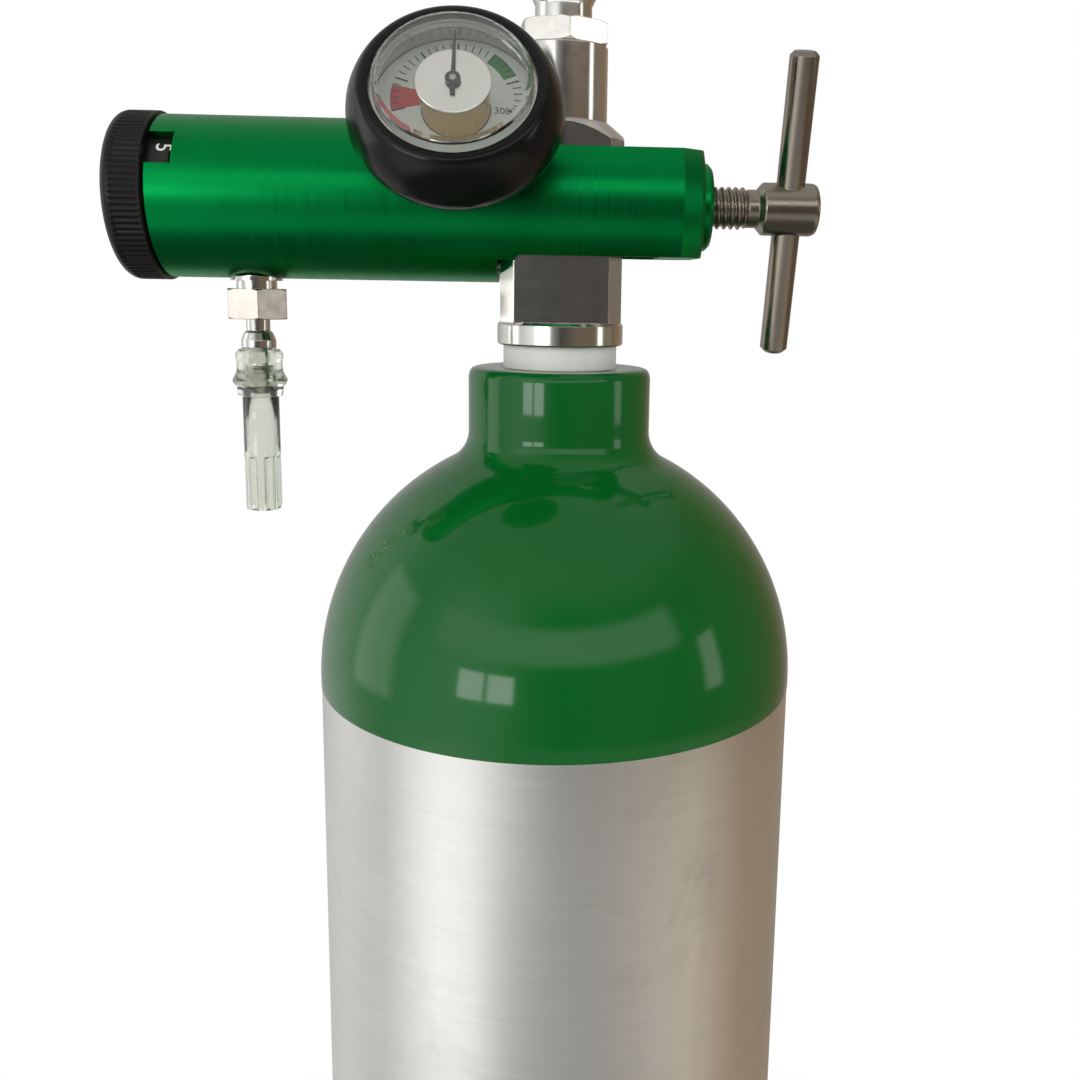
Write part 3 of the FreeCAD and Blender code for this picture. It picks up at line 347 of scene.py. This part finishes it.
OUTLET_CHROME = metal("outlet_chrome", (0.78, 0.77, 0.74), (0.66, 0.65, 0.62), 0.14, OUTLET_LATHE, 0.000003)
NUT_STEEL = metal("nut_steel", (0.60, 0.56, 0.52), (0.48, 0.44, 0.40), 0.30, OUTLET_LATHE, 0.000004, 0.0003)
INK_BLACK = dial_print("ink_black", (0.015, 0.015, 0.015))
INK_RED = dial_print("ink_red", (0.50, 0.02, 0.015))
INK_GREEN = dial_print("ink_green", (0.02, 0.22, 0.04))
INK_WHITE = dial_print("ink_white", (0.80, 0.80, 0.76))

for part in frame["record"]["subparts"]:
    cad_node = frame["nodes"][part["node"]]
    cad_node.data.materials.clear()
    cad_node.data.materials.append(MATERIALS[part["material_slot"]])
for name, material in (("tee_bar", TEE_STEEL), ("hose_tail", OUTLET_CHROME), ("outlet_stem", OUTLET_CHROME),
                       ("outlet_nut", NUT_STEEL)):
    frame["nodes"][name].data.materials[0] = material


# ------------------------------------------------------------------ mesh helpers
def finish_piece(name, mesh, body, material, stands_for=(), sharp=35.0):
    """Puts a mesh into the scene on its body, smooth but for its sharp edges."""
    mesh.materials.append(material)
    for face in mesh.polygons:
        face.use_smooth = True
    mesh.set_sharp_from_angle(angle=math.radians(sharp))
    piece = bpy.data.objects.new(name, mesh)
    bpy.context.scene.collection.objects.link(piece)
    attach(piece, body)
    if stands_for:
        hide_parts(*stands_for)


def rounded(points, radius, closed=True):
    """A profile with each corner rounded off, by less where its sides are short."""
    made = []
    steps = 3
    count = len(points)
    for index, (r, h) in enumerate(points):
        if not closed and index in (0, count - 1):
            made.append((r, h))
            continue
        here = Vector((r, h))
        before = Vector(points[index - 1]) - here
        after = Vector(points[(index + 1) % count]) - here
        cut = min(radius, 0.45 * before.length, 0.45 * after.length)
        if r < 1e-6 or cut < 1e-4:
            made.append((r, h))
            continue
        first = here + before.normalized() * cut
        last = here + after.normalized() * cut
        for step in range(steps + 1):
            t = step / steps
            point = first * (1 - t) ** 2 + here * 2 * t * (1 - t) + last * t ** 2
            made.append((point.x, point.y))
    return made


def arc_points(centre, radius, start, end, steps):
    """Points on a circle arc between two angles in degrees, ends included."""
    made = []
    for step in range(steps + 1):
        angle = math.radians(start + (end - start) * step / steps)
        made.append((centre[0] + radius * math.cos(angle), centre[1] + radius * math.sin(angle)))
    return made


def arc_through(start, middle, end, steps):
    """Points along the circle through three points, from the first to the last."""
    (ax, ay), (bx, by), (cx, cy) = start, middle, end
    twice = 2 * (ax * (by - cy) + bx * (cy - ay) + cx * (ay - by))
    first, second, third = ax * ax + ay * ay, bx * bx + by * by, cx * cx + cy * cy
    centre_x = (first * (by - cy) + second * (cy - ay) + third * (ay - by)) / twice
    centre_y = (first * (cx - bx) + second * (ax - cx) + third * (bx - ax)) / twice
    radius = math.hypot(ax - centre_x, ay - centre_y)
    from_angle = math.atan2(ay - centre_y, ax - centre_x)
    sweep = (math.atan2(cy - centre_y, cx - centre_x) - from_angle + math.pi) % (2 * math.pi) - math.pi
    angles = [from_angle + sweep * step / steps for step in range(steps + 1)]
    return [(centre_x + radius * math.cos(angle), centre_y + radius * math.sin(angle)) for angle in angles]


def lathe_mesh(name, profile, place, segments, closed, shape):
    """Surface of revolution about the local Z; shape(radius, height, angle) may change radius and height."""
    work = bmesh.new()
    rows = []
    for r, h in profile:
        if r < 1e-6:
            rows.append([work.verts.new(place @ Vector((0, 0, h)) * MM)])
            continue
        row = []
        for step in range(segments):
            angle = 2 * math.pi * step / segments
            radius, height = shape(r, h, angle) if shape else (r, h)
            point = Vector((radius * math.cos(angle), radius * math.sin(angle), height))
            row.append(work.verts.new(place @ point * MM))
        rows.append(row)
    pairs = list(zip(rows, rows[1:]))
    if closed:
        pairs.append((rows[-1], rows[0]))
    for low, high in pairs:
        if len(low) == 1 and len(high) == 1:
            continue
        for step in range(segments):
            after = (step + 1) % segments
            corners = [low[0]] if len(low) == 1 else [low[step], low[after]]
            corners += [high[0]] if len(high) == 1 else [high[after], high[step]]
            work.faces.new(corners)
    bmesh.ops.recalc_face_normals(work, faces=work.faces)
    mesh = bpy.data.meshes.new(name)
    work.to_mesh(mesh)
    work.free()
    return mesh


def turned_piece(name, profile, place, body, slot, stands_for, corner=0.0, segments=96, closed=True, shape=None,
                 sharp=35.0, material=None):
    """A turned part in place of the CAD node it stands for, with its corners rounded off."""
    profile = rounded(profile, corner, closed) if corner else profile
    mesh = lathe_mesh(name, profile, place, segments, closed, shape)
    finish_piece(name, mesh, body, material or MATERIALS[slot], (stands_for,), sharp)


def slab_mesh(name, outlines, low, high, place):
    """Flat plates: each outline, (x, y) points in order, between two heights."""
    work = bmesh.new()
    for outline in outlines:
        bottom = [work.verts.new(place @ Vector((x, y, low)) * MM) for x, y in outline]
        top = [work.verts.new(place @ Vector((x, y, high)) * MM) for x, y in outline]
        work.faces.new(bottom)
        work.faces.new(top)
        for index in range(len(outline)):
            after = (index + 1) % len(outline)
            work.faces.new([bottom[index], bottom[after], top[after], top[index]])
    bmesh.ops.recalc_face_normals(work, faces=work.faces)
    mesh = bpy.data.meshes.new(name)
    work.to_mesh(mesh)
    work.free()
    return mesh


def text_mesh(words, size, depth, place):
    """A word as a flat extruded mesh centred on its place, in millimetres."""
    curve = bpy.data.curves.new("words", "FONT")
    curve.body = words
    curve.size = size
    curve.extrude = depth / 2
    curve.align_x = "CENTER"
    curve.align_y = "CENTER"
    curve.resolution_u = 4
    source = bpy.data.objects.new("words", curve)
    bpy.context.scene.collection.objects.link(source)
    mesh = bpy.data.meshes.new_from_object(source.evaluated_get(bpy.context.evaluated_depsgraph_get()))
    bpy.data.objects.remove(source)
    mesh.transform(Matrix.Scale(MM, 4) @ place)
    return mesh


# ------------------------------------------------------------------ cylinder shell
def shell():
    """Bare wall with its base, and the painted shoulder and neck standing a paint's thickness proud."""
    neck_to_barrel = 36.9
    barrel_to_dome = 108.0
    shoulder = SHELL_HEIGHT + neck_to_barrel - barrel_to_dome
    fillet = 8.0
    neck = 21.0
    blend_r = neck + fillet
    blend_h = shoulder + math.sqrt((SHELL_RADIUS + fillet) ** 2 - blend_r ** 2)
    touch = math.degrees(math.atan2(blend_h - shoulder, blend_r))
    corner = 12.0
    base = [(0.0, 0.6), (24.0, 0.6), (30.0, 0.0)]
    base += arc_points((SHELL_RADIUS - corner, corner), corner, -90, 0, 12)
    wall = base + [(SHELL_RADIUS, PAINT_LINE * share) for share in (0.25, 0.5, 0.75, 1.0)]
    wall += [(SHELL_RADIUS - 3.0, PAINT_LINE), (SHELL_RADIUS - 6.4, PAINT_LINE - 5), (0.0, PAINT_LINE - 5)]
    turned_piece("shell_wall", wall, UPRIGHT, "root", "shell_aluminium", "cylinder_shell", segments=256,
                 closed=False)
    coat = 0.12
    skin = SHELL_RADIUS + coat
    profile = [(SHELL_RADIUS - 1.0, PAINT_LINE - 0.1), (SHELL_RADIUS + 0.02, PAINT_LINE - 0.1),
               (skin - 0.04, PAINT_LINE + 0.05), (skin, PAINT_LINE + 0.4)]
    profile += arc_points((0.0, shoulder), skin, 0.5, touch, 48)
    profile += arc_points((blend_r, blend_h), fillet - coat, touch + 180, 180, 14)[1:]
    top = SHELL_HEIGHT
    profile += [(neck + coat, blend_h + 2), (neck + coat, top - 2.0), (neck + coat - 0.25, top - 1.0),
                (neck - 0.6, top - 0.3), (neck - 1.4, top), (14.2, top), (13.4, top - 0.2), (11.6, top - 0.6),
                (11.6, top - 2.6), (9.6, top - 2.6), (9.6, top - 30.0), (0.0, top - 30.0)]
    turned_piece("shell_paint", profile, UPRIGHT, "root", "shell_aluminium", "cylinder_shell", segments=256,
                 closed=False, sharp=50.0, material=PAINT)


# ------------------------------------------------------------------ flow selector
def knob():
    """Cup-shaped knob: fine rounded ribs that fade into a smooth rolled nose."""
    left = KNOB_LEFT
    right = KNOB_RIGHT
    rib_depth = 0.28
    roll = 2.5

    def ribs(r, h, angle):
        inside = min(1.0, max(0.0, (h - left - 2.2) / 0.6)) * min(1.0, max(0.0, (right - 0.35 - h) / 0.25))
        if r < KNOB_RADIUS - 1.2:
            inside = 0.0
        wave = 0.5 - 0.5 * math.cos(KNOB_RIBS * angle)
        return r - rib_depth * inside * (1 - wave ** 0.6), h

    nose = arc_points((KNOB_RADIUS - roll, left + roll), roll, -90, 0, 8)
    side = [(KNOB_RADIUS, left + roll + 0.2 * step) for step in range(1, 29)]
    end = [(KNOB_RADIUS, right - 0.35), (KNOB_RADIUS - 0.1, right - 0.1), (KNOB_RADIUS - 0.35, right)]
    profile = [(9.0, left + 1.0), (9.0, left + 0.15), (9.15, left), *nose, *side, *end,
               (16.4, right), (16.4, left + 3.0), (7.0, left + 3.0), (7.0, -85.0), (4.02, -85.0),
               (4.02, left + 1.0)]
    turned_piece("knob_grip", profile, ON_BARREL, "selector", "knob_plastic", "flow_knob", segments=KNOB_RIBS * 8,
                 shape=ribs)
    cap = [(0.0, left - 0.05), (6.6, left - 0.05), (7.4, left - 0.3), (8.3, left - 0.25), (8.8, left + 0.3),
           (8.8, left + 1.15), (0.0, left + 1.15)]
    turned_piece("knob_button", cap, ON_BARREL, "selector", "knob_plastic", "knob_cap", corner=0.15,
                 closed=False)


def number_drum():
    """Ring behind the notch with twelve flow numbers, read from the tee handle's side."""
    skin = 15.6
    drum = [(7.05, -91.0), (skin, -91.0), (skin, -82.9), (14.2, -82.9), (14.2, -89.8), (7.05, -89.8)]
    turned_piece("number_ring", drum, ON_BARREL, "selector", "drum_plastic", "flow_number_drum", corner=0.15,
                 segments=192)
    numbers = ("5", "6", "8", "10", "15", "0", "1/2", "1", "1.5", "2", "3", "4")
    large, small = 4.9, 3.2
    middle = -84.3
    shown = math.radians(144.0)
    sideways = Matrix.Rotation(-math.pi / 2, 4, "Z")
    work = bmesh.new()
    for index, number in enumerate(numbers):
        flat = text_mesh(number, large if len(number) == 1 else small, 0.06, sideways)
        turn = shown - 2 * math.pi * index / len(numbers)
        for corner in flat.vertices:
            x, y, lift = (value / MM for value in corner.co)
            angle = turn - y / skin
            radius = skin + lift
            point = Vector((middle + x, radius * math.cos(angle), radius * math.sin(angle) + BARREL_Z))
            corner.co = point * MM
        work.from_mesh(flat)
        bpy.data.meshes.remove(flat)
    mesh = bpy.data.meshes.new("flow_numbers")
    work.to_mesh(mesh)
    work.free()
    finish_piece("flow_numbers", mesh, "selector", INK_WHITE)


# ------------------------------------------------------------------ yoke screw and tee handle
def yoke_screw():
    """Helical thread, relieved neck and round head with rolled edges."""
    pitch, crest, core = 1.5875, 4.75, 4.05
    start, end = 18.0, 42.7
    work = bmesh.new()
    around, per_turn = 64, 10
    rows = []
    count = int((end - start) / pitch * per_turn)
    for index in range(count + 1):
        x = start + (end - start) * index / count
        row = []
        for step in range(around):
            angle = 2 * math.pi * step / around
            phase = (x / pitch - step / around) % 1.0
            tooth = min(1.0, max(0.0, 1.45 - abs(phase - 0.5) * 3.6))
            fade = min(1.0, (end - x) / 1.2, (x - start) / 0.8)
            radius = core + (crest - core) * tooth * max(0.0, fade)
            point = Vector((radius * math.cos(angle), radius * math.sin(angle), x))
            row.append(work.verts.new(ON_BARREL @ point * MM))
        rows.append(row)
    for low, high in zip(rows, rows[1:]):
        for step in range(around):
            after = (step + 1) % around
            work.faces.new([low[step], low[after], high[after], high[step]])
    work.faces.new(list(reversed(rows[0])))
    work.faces.new(rows[-1])
    mesh = bpy.data.meshes.new("yoke_thread")
    work.to_mesh(mesh)
    work.free()
    finish_piece("yoke_thread", mesh, "screw", MATERIALS["screw_steel"], ("yoke_screw",), 50.0)
    tip = [(0.0, 14.6), (2.9, 14.6), (2.9, 17.5), (4.05, 17.5), (4.05, 18.1), (0.0, 18.1)]
    turned_piece("yoke_screw_tip", tip, ON_BARREL, "screw", "screw_steel", "yoke_screw", corner=0.1, segments=64,
                 closed=False)
    head = [(0.0, 42.3), (4.3, 42.3), (4.3, 44.8), (4.65, 44.8), (5.95, 46.0), (5.95, 57.2), (5.55, 58.2),
            (4.55, 58.6), (2.2, 58.6), (1.9, 58.3), (0.0, 58.3)]
    turned_piece("yoke_screw_head", head, ON_BARREL, "screw", "screw_steel", "yoke_screw", corner=0.3,
                 closed=False)


# ------------------------------------------------------------------ outlet, collar and tube
def clear_tubing():
    """Soft collar with a pointed grip lip, and the clear tube end with six ribs in its mouth."""
    collar = [(4.0, -44.4), (4.95, -44.4), (5.15, -42.6), (6.1, -40.9), (6.05, -40.5), (5.15, -38.7),
              (5.0, -36.4), (5.3, -35.7), (5.2, -34.5), (4.6, -33.65), (3.9, -33.6), (3.9, -38.0)]
    turned_piece("soft_collar", collar, UNDER_BARREL, "tubing", "clear_vinyl", "tubing_collar", corner=0.25)
    mouth_floor = -58.3

    def ribs(r, h, angle):
        if r > 3.25 or h > mouth_floor - 0.01 or h < -70.6:
            return r, h
        crest = abs(math.sin(3 * angle)) ** 0.5
        return 1.95 + 1.2 * crest, h

    bore = [(3.2, -44.9), (3.2, mouth_floor + 0.3), (3.15, mouth_floor), (3.0, mouth_floor - 0.4)]
    bore += [(3.0, mouth_floor - 0.4 - 1.19 * step) for step in range(1, 10)] + [(3.0, -70.5), (3.2, -70.9)]
    outside = [(3.7, -70.9), (3.95, -70.75), (4.05, -70.4), (4.05, -66.0), (4.05, -58.6), (4.12, -58.3),
               (4.12, -57.7), (4.05, -57.4), (4.05, -50.0), (4.05, -44.5), (3.95, -44.4), (3.95, -38.3),
               (3.6, -38.3), (3.6, -44.4)]
    turned_piece("clear_tube", bore + outside, UNDER_BARREL, "tubing", "clear_vinyl", "tubing_stub", segments=144,
                 shape=ribs, sharp=45.0)


# ------------------------------------------------------------------ pressure gauge
def gauge():
    """Rubber boot, bevelled lens and the turned disc under the needle."""
    boot = [(8.0, 24.95), (8.0, 22.4)]
    boot += arc_through((14.0, 22.4), (18.5, 25.3), (21.8, 31.6), 14)
    boot += arc_through((21.8, 31.6), (20.9, 36.4), (18.8, 40.3), 14)[1:]
    boot += arc_through((18.8, 40.3), (17.8, 41.0), (16.6, 41.1), 6)[1:]
    boot += [(16.3, 41.0), (16.2, 40.7), (16.2, 39.75), (18.0, 39.75), (18.0, 32.9), (17.45, 32.9),
             (17.45, 24.95)]
    turned_piece("boot", boot, ON_GAUGE, "root", "gloss_rubber", "gauge_boot", segments=160, sharp=40.0)
    lens = [(0.0, 41.9), (14.8, 41.9), (14.8, 37.7), (15.5, 37.7), (15.5, 42.2), (15.1, 42.7), (14.4, 43.1),
            (12.0, 43.2), (6.0, 43.28), (0.0, 43.3)]
    turned_piece("lens", lens, ON_GAUGE, "root", "clear_lens", "gauge_lens", segments=160, closed=False,
                 sharp=12.0)
    face = 40.6
    groove_pitch, groove_depth = 0.25, 0.05
    disc = [(0.75, 40.0), (7.2, 40.0), (7.4, 40.2), (7.4, 40.45), (7.25, face)]
    disc += [(7.1 - groove_pitch * step, face - (groove_depth if step % 2 else 0.0)) for step in range(25)]
    disc.append((0.75, face))
    turned_piece("turned_disc", disc, ON_GAUGE, "root", "disc_silver", "drum_cap", segments=128, sharp=60.0)


def on_dial(radius, degrees):
    """Point on the dial; degrees are clockwise from its top."""
    angle = math.radians(degrees)
    return (radius * math.sin(angle), radius * math.cos(angle))


def ring_sector(inner, outer, start, end):
    """Outline of a part of a ring between two dial angles."""
    steps = 24
    near = [on_dial(inner, start + (end - start) * step / steps) for step in range(steps + 1)]
    far = [on_dial(outer, start + (end - start) * step / steps) for step in range(steps + 1)]
    return near + far[::-1]


def tick(inner, outer, degrees, width):
    """Outline of a radial scale mark."""
    half = math.degrees(width / 2 / outer)
    inner_half = math.degrees(width / 2 / inner)
    return [on_dial(inner, degrees - inner_half), on_dial(outer, degrees - half),
            on_dial(outer, degrees + half), on_dial(inner, degrees + inner_half)]


def dial_graphics():
    """Scale from 0 to 3000 over 210 degrees, with a red low sector and a green full sector."""
    paper = 32.5
    ink = paper + 0.04
    scale_rise = 2.5
    scale = ON_GAUGE @ Matrix.Translation((0, scale_rise, 0))
    step_angle = 7.0
    lowest = -105.0
    scale_rim = 12.9
    ticks = []
    for index in range(31):
        whole = index % 5 == 0
        inner, width = (10.3, 0.34) if whole else (11.2, 0.2)
        ticks.append(tick(inner, scale_rim, lowest + step_angle * index, width))
    black = slab_mesh("dial_scale", ticks, paper + 0.05, paper + 0.09, scale)
    finish_piece("dial_scale", black, "root", INK_BLACK)
    red = slab_mesh("dial_red", [ring_sector(7.2, scale_rim, lowest, -78.0)], paper + 0.01, ink, scale)
    finish_piece("dial_red", red, "root", INK_RED)
    green = slab_mesh("dial_green", [ring_sector(10.2, scale_rim, 35.0, 64.0)], paper + 0.01, ink, scale)
    finish_piece("dial_green", green, "root", INK_GREEN)
    number = text_mesh("3000", 2.1, 0.05, ON_GAUGE @ Matrix.Translation((9.5, -0.3, ink)))
    finish_piece("dial_number", number, "root", INK_BLACK)


shell()
knob()
number_drum()
yoke_screw()
clear_tubing()
gauge()
dial_graphics()


# ------------------------------------------------------------------ floor, light and camera
# The room in reflections. Wall colours go by bearing in degrees, 0 towards the viewer and + towards +X;
# the low walls take over below the barrel's eye level.
ROOM_WALLS = (
    (-180, (0.40, 0.40, 0.39)), (-150, (0.45, 0.45, 0.44)), (-118, (0.80, 0.80, 0.78)),
    (-85, (0.55, 0.55, 0.54)), (-50, (1.0, 1.0, 0.98)), (-30, (0.80, 0.80, 0.78)), (-12, (0.22, 0.22, 0.21)),
    (0, (0.065, 0.062, 0.06)), (30, (0.17, 0.135, 0.10)), (60, (0.17, 0.135, 0.10)),
    (100, (0.22, 0.19, 0.15)), (130, (0.27, 0.17, 0.10)), (180, (0.40, 0.40, 0.39)),
)
ROOM_LOW_WALLS = (
    (-180, (0.40, 0.40, 0.39)), (-120, (0.70, 0.70, 0.68)), (-90, (0.50, 0.50, 0.49)),
    (-58, (1.25, 1.25, 1.22)), (-42, (1.15, 1.15, 1.12)), (-22, (0.52, 0.52, 0.51)), (5, (0.40, 0.40, 0.395)),
    (40, (0.48, 0.45, 0.40)), (72, (0.60, 0.53, 0.43)), (100, (0.34, 0.24, 0.15)), (140, (0.30, 0.24, 0.18)),
    (180, (0.40, 0.40, 0.39)),
)
CEILING = (0.52, 0.52, 0.50)
GROUND = (0.12, 0.12, 0.11)
# A soft band overhead, two window panes, a far left opening and a small right one:
# left and right bearing, low and high height as a sine, softness in degrees, colour.
ROOM_LIGHTS = (
    (-62.0, 62.0, 0.27, 0.53, 5.0, (1.25, 1.25, 1.22)),
    (-46.0, -34.0, -0.04, 0.17, 1.5, (5.5, 5.5, 5.4)),
    (-32.0, -20.0, -0.04, 0.17, 1.5, (5.5, 5.5, 5.4)),
    (-108.0, -82.0, -0.2, 0.45, 4.0, (1.6, 1.6, 1.55)),
    (72.0, 82.0, -0.1, 0.25, 2.5, (2.0, 1.95, 1.85)),
)


def wall_colours(tree, degrees, table):
    """Colour by bearing from a table of (degrees, colour)."""
    walls = node(tree, "ValToRGB")
    join(tree, remap(tree, degrees, -180.0, 180.0, 0.0, 1.0), walls.inputs[0])
    ramp = walls.color_ramp
    while len(ramp.elements) > 1:
        ramp.elements.remove(ramp.elements[-1])
    for index, (angle, colour) in enumerate(table):
        position = (angle + 180.0) / 360.0
        element = ramp.elements[0] if index == 0 else ramp.elements.new(position)
        element.position = position
        element.color = (*colour, 1.0)
    return walls.outputs[0]


def studio_world():
    """White to the eye, evenly lit, and in reflections a room with a bright left and a dark warm right."""
    world = bpy.data.worlds.new("studio")
    bpy.context.scene.world = world
    world.use_nodes = True
    tree = world.node_tree
    tree.nodes.clear()
    parts = node(tree, "SeparateXYZ")
    join(tree, node(tree, "TexCoord").outputs["Generated"], parts.inputs[0])
    height = parts.outputs["Z"]
    bearing = maths(tree, "ARCTAN2", parts.outputs["X"], maths(tree, "MULTIPLY", parts.outputs["Y"], -1.0))
    degrees = maths(tree, "MULTIPLY", bearing, 180.0 / math.pi)
    walls = wall_colours(tree, degrees, ROOM_WALLS)
    low_walls = wall_colours(tree, degrees, ROOM_LOW_WALLS)
    room = blend_colour(tree, remap(tree, height, 0.52, 0.85, 0.0, 1.0, True), walls, CEILING)
    room = blend_colour(tree, remap(tree, height, -0.33, -0.43, 0.0, 1.0, True), room, low_walls)
    room = blend_colour(tree, remap(tree, height, -0.66, -0.80, 0.0, 1.0, True), room, GROUND)
    for left, right, low, high, soft, colour in ROOM_LIGHTS:
        sides = maths(tree, "MULTIPLY", remap(tree, degrees, left - soft, left + soft, 0.0, 1.0, True),
                      remap(tree, degrees, right - soft, right + soft, 1.0, 0.0, True))
        blur = math.radians(soft) / 2
        ends = maths(tree, "MULTIPLY", remap(tree, height, low - blur, low + blur, 0.0, 1.0, True),
                     remap(tree, height, high - blur, high + blur, 1.0, 0.0, True))
        room = blend_colour(tree, maths(tree, "MULTIPLY", sides, ends), room, colour)
    seen = node(tree, "Background", {"Color": (1.0, 1.0, 1.0, 1.0), "Strength": 1.0})
    even = node(tree, "Background", {"Color": (0.80, 0.80, 0.79, 1.0), "Strength": 1.0})
    mirrored = node(tree, "Background", {"Strength": 1.0})
    join(tree, room, mirrored.inputs["Color"])
    ray = node(tree, "LightPath")
    direct = maths(tree, "MAXIMUM", ray.outputs["Is Camera Ray"], ray.outputs["Is Transmission Ray"])
    soft_or_mirrored = node(tree, "MixShader")
    join(tree, ray.outputs["Is Diffuse Ray"], soft_or_mirrored.inputs[0])
    join(tree, mirrored.outputs[0], soft_or_mirrored.inputs[1])
    join(tree, even.outputs[0], soft_or_mirrored.inputs[2])
    mixed = node(tree, "MixShader")
    join(tree, direct, mixed.inputs[0])
    join(tree, soft_or_mirrored.outputs[0], mixed.inputs[1])
    join(tree, seen.outputs[0], mixed.inputs[2])
    output = node(tree, "OutputWorld")
    join(tree, mixed.outputs[0], output.inputs["Surface"])


def floor():
    """Pale round floor that fades out before it reaches the picture's background."""
    work = bmesh.new()
    bmesh.ops.create_circle(work, cap_ends=True, segments=128, radius=0.9)
    mesh = bpy.data.meshes.new("floor")
    work.to_mesh(mesh)
    work.free()
    material, tree, shader = start_material("floor", Roughness=0.6, Specular_IOR_Level=0.2)
    point = object_point(tree)
    join(tree, blend_colour(tree, noise(tree, point, 40.0), (0.80, 0.80, 0.79), (0.84, 0.84, 0.83)),
         shader.inputs["Base Color"])
    distance = node(tree, "VectorMath", operation="LENGTH")
    join(tree, point, distance.inputs[0])
    fade_start, fade_end = 0.14, 0.34
    fade = remap(tree, distance.outputs["Value"], fade_start, fade_end, 1.0, 0.0, True)
    join(tree, fade, shader.inputs["Alpha"])
    mesh.materials.append(material)
    plate = bpy.data.objects.new("floor", mesh)
    plate.location.z = -0.0005
    plate.visible_glossy = False
    bpy.context.scene.collection.objects.link(plate)


def softbox(name, place, target, width, height, watts):
    """Rectangular soft light aimed at a point and left out of reflections."""
    light = bpy.data.lights.new(name, "AREA")
    light.shape = "RECTANGLE"
    light.size = width
    light.size_y = height
    light.energy = watts
    lamp = bpy.data.objects.new(name, light)
    lamp.location = place
    lamp.rotation_euler = (Vector(target) - Vector(place)).to_track_quat("-Z", "Y").to_euler()
    lamp.visible_glossy = False
    bpy.context.scene.collection.objects.link(lamp)


def camera():
    """Eye level with the barrel, close in front and a little to the left, looking slightly down."""
    yaw, pitch, roll = math.radians(3.0), math.radians(9.75), math.radians(-1.02)
    forward = Vector((math.sin(yaw) * math.cos(pitch), math.cos(yaw) * math.cos(pitch), -math.sin(pitch)))
    level = Vector((math.cos(yaw), -math.sin(yaw), 0))
    below = forward.cross(level)
    right = math.cos(roll) * level + math.sin(roll) * below
    down = -math.sin(roll) * level + math.cos(roll) * below
    data = bpy.data.cameras.new("camera")
    data.sensor_width = 36.0
    data.lens = 36.66
    data.shift_x = -0.0573
    data.shift_y = -0.0612
    data.clip_start = 0.01
    eye = bpy.data.objects.new("camera", data)
    turn = Matrix((right, -down, -forward)).transposed()
    place = Vector((-0.0032, -0.2573, BARREL_Z * MM - 0.0178))
    eye.matrix_world = Matrix.Translation(place) @ turn.to_4x4()
    bpy.context.scene.collection.objects.link(eye)
    bpy.context.scene.camera = eye


studio_world()
floor()
aim = (0.0, 0.0, 0.42)
softbox("key", (-0.75, -0.85, 1.05), aim, 0.5, 0.6, 4.0)
softbox("fill", (0.3, -1.1, 0.95), aim, 1.0, 0.4, 2.5)
softbox("back", (0.4, 1.0, 0.9), aim, 0.8, 0.6, 4.0)
camera()
bpy.context.scene.view_settings.view_transform = "Standard"
